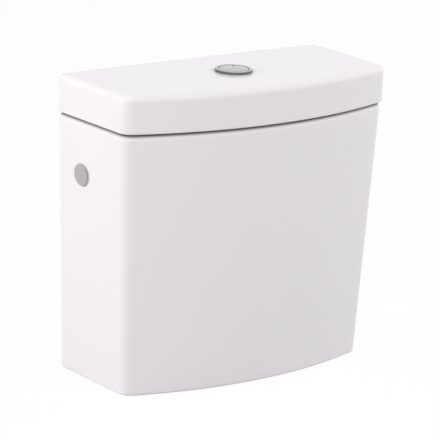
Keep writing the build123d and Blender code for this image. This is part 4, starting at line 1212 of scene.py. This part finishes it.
CAMERA_LENS = 234.5
CAMERA_SENSOR = 36
CAMERA_CLIP = 100
CAMERA_DISTANCE = 3.432
CAMERA_AZIMUTH = -38.2
CAMERA_ELEVATION = 15.35
CAMERA_ROLL = 2.73
CAMERA_TARGET = (-12.2 * MM, -3 * MM, 182.3 * MM)

LAMPS = {
    "left": ((-2.9, -0.3, 1.2), 2.4),
    "left_front": ((-2.6, -1.7, 1.3), 2.4),
    "left_rear": ((-2.4, 1.6, 1.3), 2.4),
    "front": ((0.8, -2.4, 2.6), 3.0),
    "right": ((3.3, 0.2, 1.4), 2.4),
}

FLOOR_REACH = 30
FLOOR_GAP = 0.2 * MM


def make_camera():
    """Camera at the photograph's view: a long lens, from the front left and a little above."""
    azimuth = math.radians(CAMERA_AZIMUTH)
    elevation = math.radians(CAMERA_ELEVATION)
    roll = math.radians(CAMERA_ROLL)
    back = Vector((math.sin(azimuth) * math.cos(elevation), -math.cos(azimuth) * math.cos(elevation),
                   math.sin(elevation)))
    right = Vector((0, 0, 1)).cross(back).normalized()
    up = back.cross(right)
    turned_right = right * math.cos(roll) + up * math.sin(roll)
    turned_up = up * math.cos(roll) - right * math.sin(roll)
    data = bpy.data.cameras.new("camera")
    data.lens = CAMERA_LENS
    data.sensor_width = CAMERA_SENSOR
    data.clip_end = CAMERA_CLIP
    camera = placed("camera", data)
    turn = Matrix((turned_right, turned_up, back)).transposed().to_4x4()
    camera.matrix_world = Matrix.Translation(Vector(CAMERA_TARGET) + back * CAMERA_DISTANCE) @ turn
    bpy.context.scene.camera = camera


def make_lamp(name, place, size, power):
    """A square soft lamp that faces the middle of the object, unseen by the camera and in mirrors."""
    data = bpy.data.lights.new(name, "AREA")
    data.size = size
    data.energy = power
    lamp = placed(name, data)
    middle = (cad_low + cad_high) / 2
    lamp.location = place
    lamp.rotation_euler = (Vector(place) - middle).to_track_quat("Z", "Y").to_euler()
    lamp.visible_camera = False
    lamp.visible_glossy = False


def seen_directly(tree):
    """1 for rays from the camera, in mirrors and through glass, and 0 for light that falls on things."""
    path = add(tree, "ShaderNodeLightPath").outputs
    seen = path["Is Camera Ray"]
    for ray in ("Is Glossy Ray", "Is Transmission Ray"):
        seen = add(tree, "ShaderNodeMath", links={0: seen, 1: path[ray]}, operation="MAXIMUM")
    return seen


def make_surround():
    """World: plain white where it is seen, and a softer white as light."""
    world = bpy.data.worlds.new("surround")
    tree = emptied(world)
    power = add(tree, "ShaderNodeMapRange", {"To Min": settings().light.surround, "To Max": 1.0},
                {"Value": seen_directly(tree)})
    glow = add(tree, "ShaderNodeBackground", {"Color": (1, 1, 1, 1)}, {"Strength": power})
    add(tree, "ShaderNodeOutputWorld", links={"Surface": glow})
    bpy.context.scene.world = world


def floor_paper():
    """Pale paper that reads as the white surround where the camera sees it, but keeps the shadow."""
    light = settings().light
    material = bpy.data.materials.new("studio_floor")
    tree = emptied(material)
    seen = seen_directly(tree)
    tone = add(tree, "ShaderNodeMix", {6: list(light.floor_bounce), 7: list(light.floor_seen)}, {0: seen},
               data_type="RGBA")
    paper = add(tree, "ShaderNodeBsdfDiffuse", links={"Color": tone.outputs[2]})
    white = add(tree, "ShaderNodeEmission", {"Color": (1, 1, 1, 1), "Strength": 1.0})
    share = add(tree, "ShaderNodeMath", {1: light.floor_white_share}, {0: seen}, operation="MULTIPLY")
    surface = add(tree, "ShaderNodeMixShader", links={0: share, 1: paper, 2: white})
    add(tree, "ShaderNodeOutputMaterial", links={"Surface": surface})
    return material


def make_floor():
    """Wide floor just under the foot."""
    made = bmesh.new()
    bmesh.ops.create_grid(made, x_segments=4, y_segments=4, size=FLOOR_REACH)
    mesh = plain_mesh("floor", made)
    mesh.transform(Matrix.Translation((0, 0, tank_low.z - FLOOR_GAP)))
    mesh.materials.append(floor_paper())
    floor = placed("floor", mesh)


class CISTERN_OT_studio(bpy.types.Operator):
    """Make the camera, the white surround, the floor and the soft lamps"""

    bl_idname = "cistern.studio"
    bl_label = "Studio"

    def execute(self, context):
        light = settings().light
        bpy.context.scene.view_settings.view_transform = "Standard"
        make_camera()
        make_surround()
        make_floor()
        for name, (place, size) in LAMPS.items():
            make_lamp(f"{name}_lamp", place, size, getattr(light, name))
        return {"FINISHED"}


OPERATORS = (CISTERN_OT_studio, CISTERN_OT_tank, CISTERN_OT_lid, CISTERN_OT_buttons, CISTERN_OT_flush_valve,
             CISTERN_OT_fill_valve, CISTERN_OT_blanking_plug, CISTERN_OT_coupling_bolts)


class CISTERN_PT_panel(bpy.types.Panel):
    """Buttons for each piece, and the sizes, colours and light"""

    bl_idname = "CISTERN_PT_panel"
    bl_label = "Cistern"
    bl_space_type = "VIEW_3D"
    bl_region_type = "UI"
    bl_category = "Cistern"

    def draw(self, context):
        layout = self.layout
        for operator in OPERATORS:
            layout.operator(operator.bl_idname)
        cistern = context.scene.cistern
        for group in (cistern.tank, cistern.lid, cistern.colours, cistern.light):
            box = layout.box()
            for name in group.__annotations__:
                box.prop(group, name)


CLASSES = (TankSizes, LidSizes, CisternColours, StudioLight, CisternSettings, *OPERATORS, CISTERN_PT_panel)


def register():
    for item in CLASSES:
        bpy.utils.register_class(item)
    bpy.types.Scene.cistern = bpy.props.PointerProperty(type=CisternSettings)


def unregister():
    del bpy.types.Scene.cistern
    for item in reversed(CLASSES):
        bpy.utils.unregister_class(item)


def main():
    register()
    bpy.ops.cistern.studio()
    bpy.ops.cistern.tank()
    bpy.ops.cistern.lid()
    bpy.ops.cistern.buttons()
    bpy.ops.cistern.flush_valve()
    bpy.ops.cistern.fill_valve()
    bpy.ops.cistern.blanking_plug()
    bpy.ops.cistern.coupling_bolts()


if __name__ == "__main__":
    main()
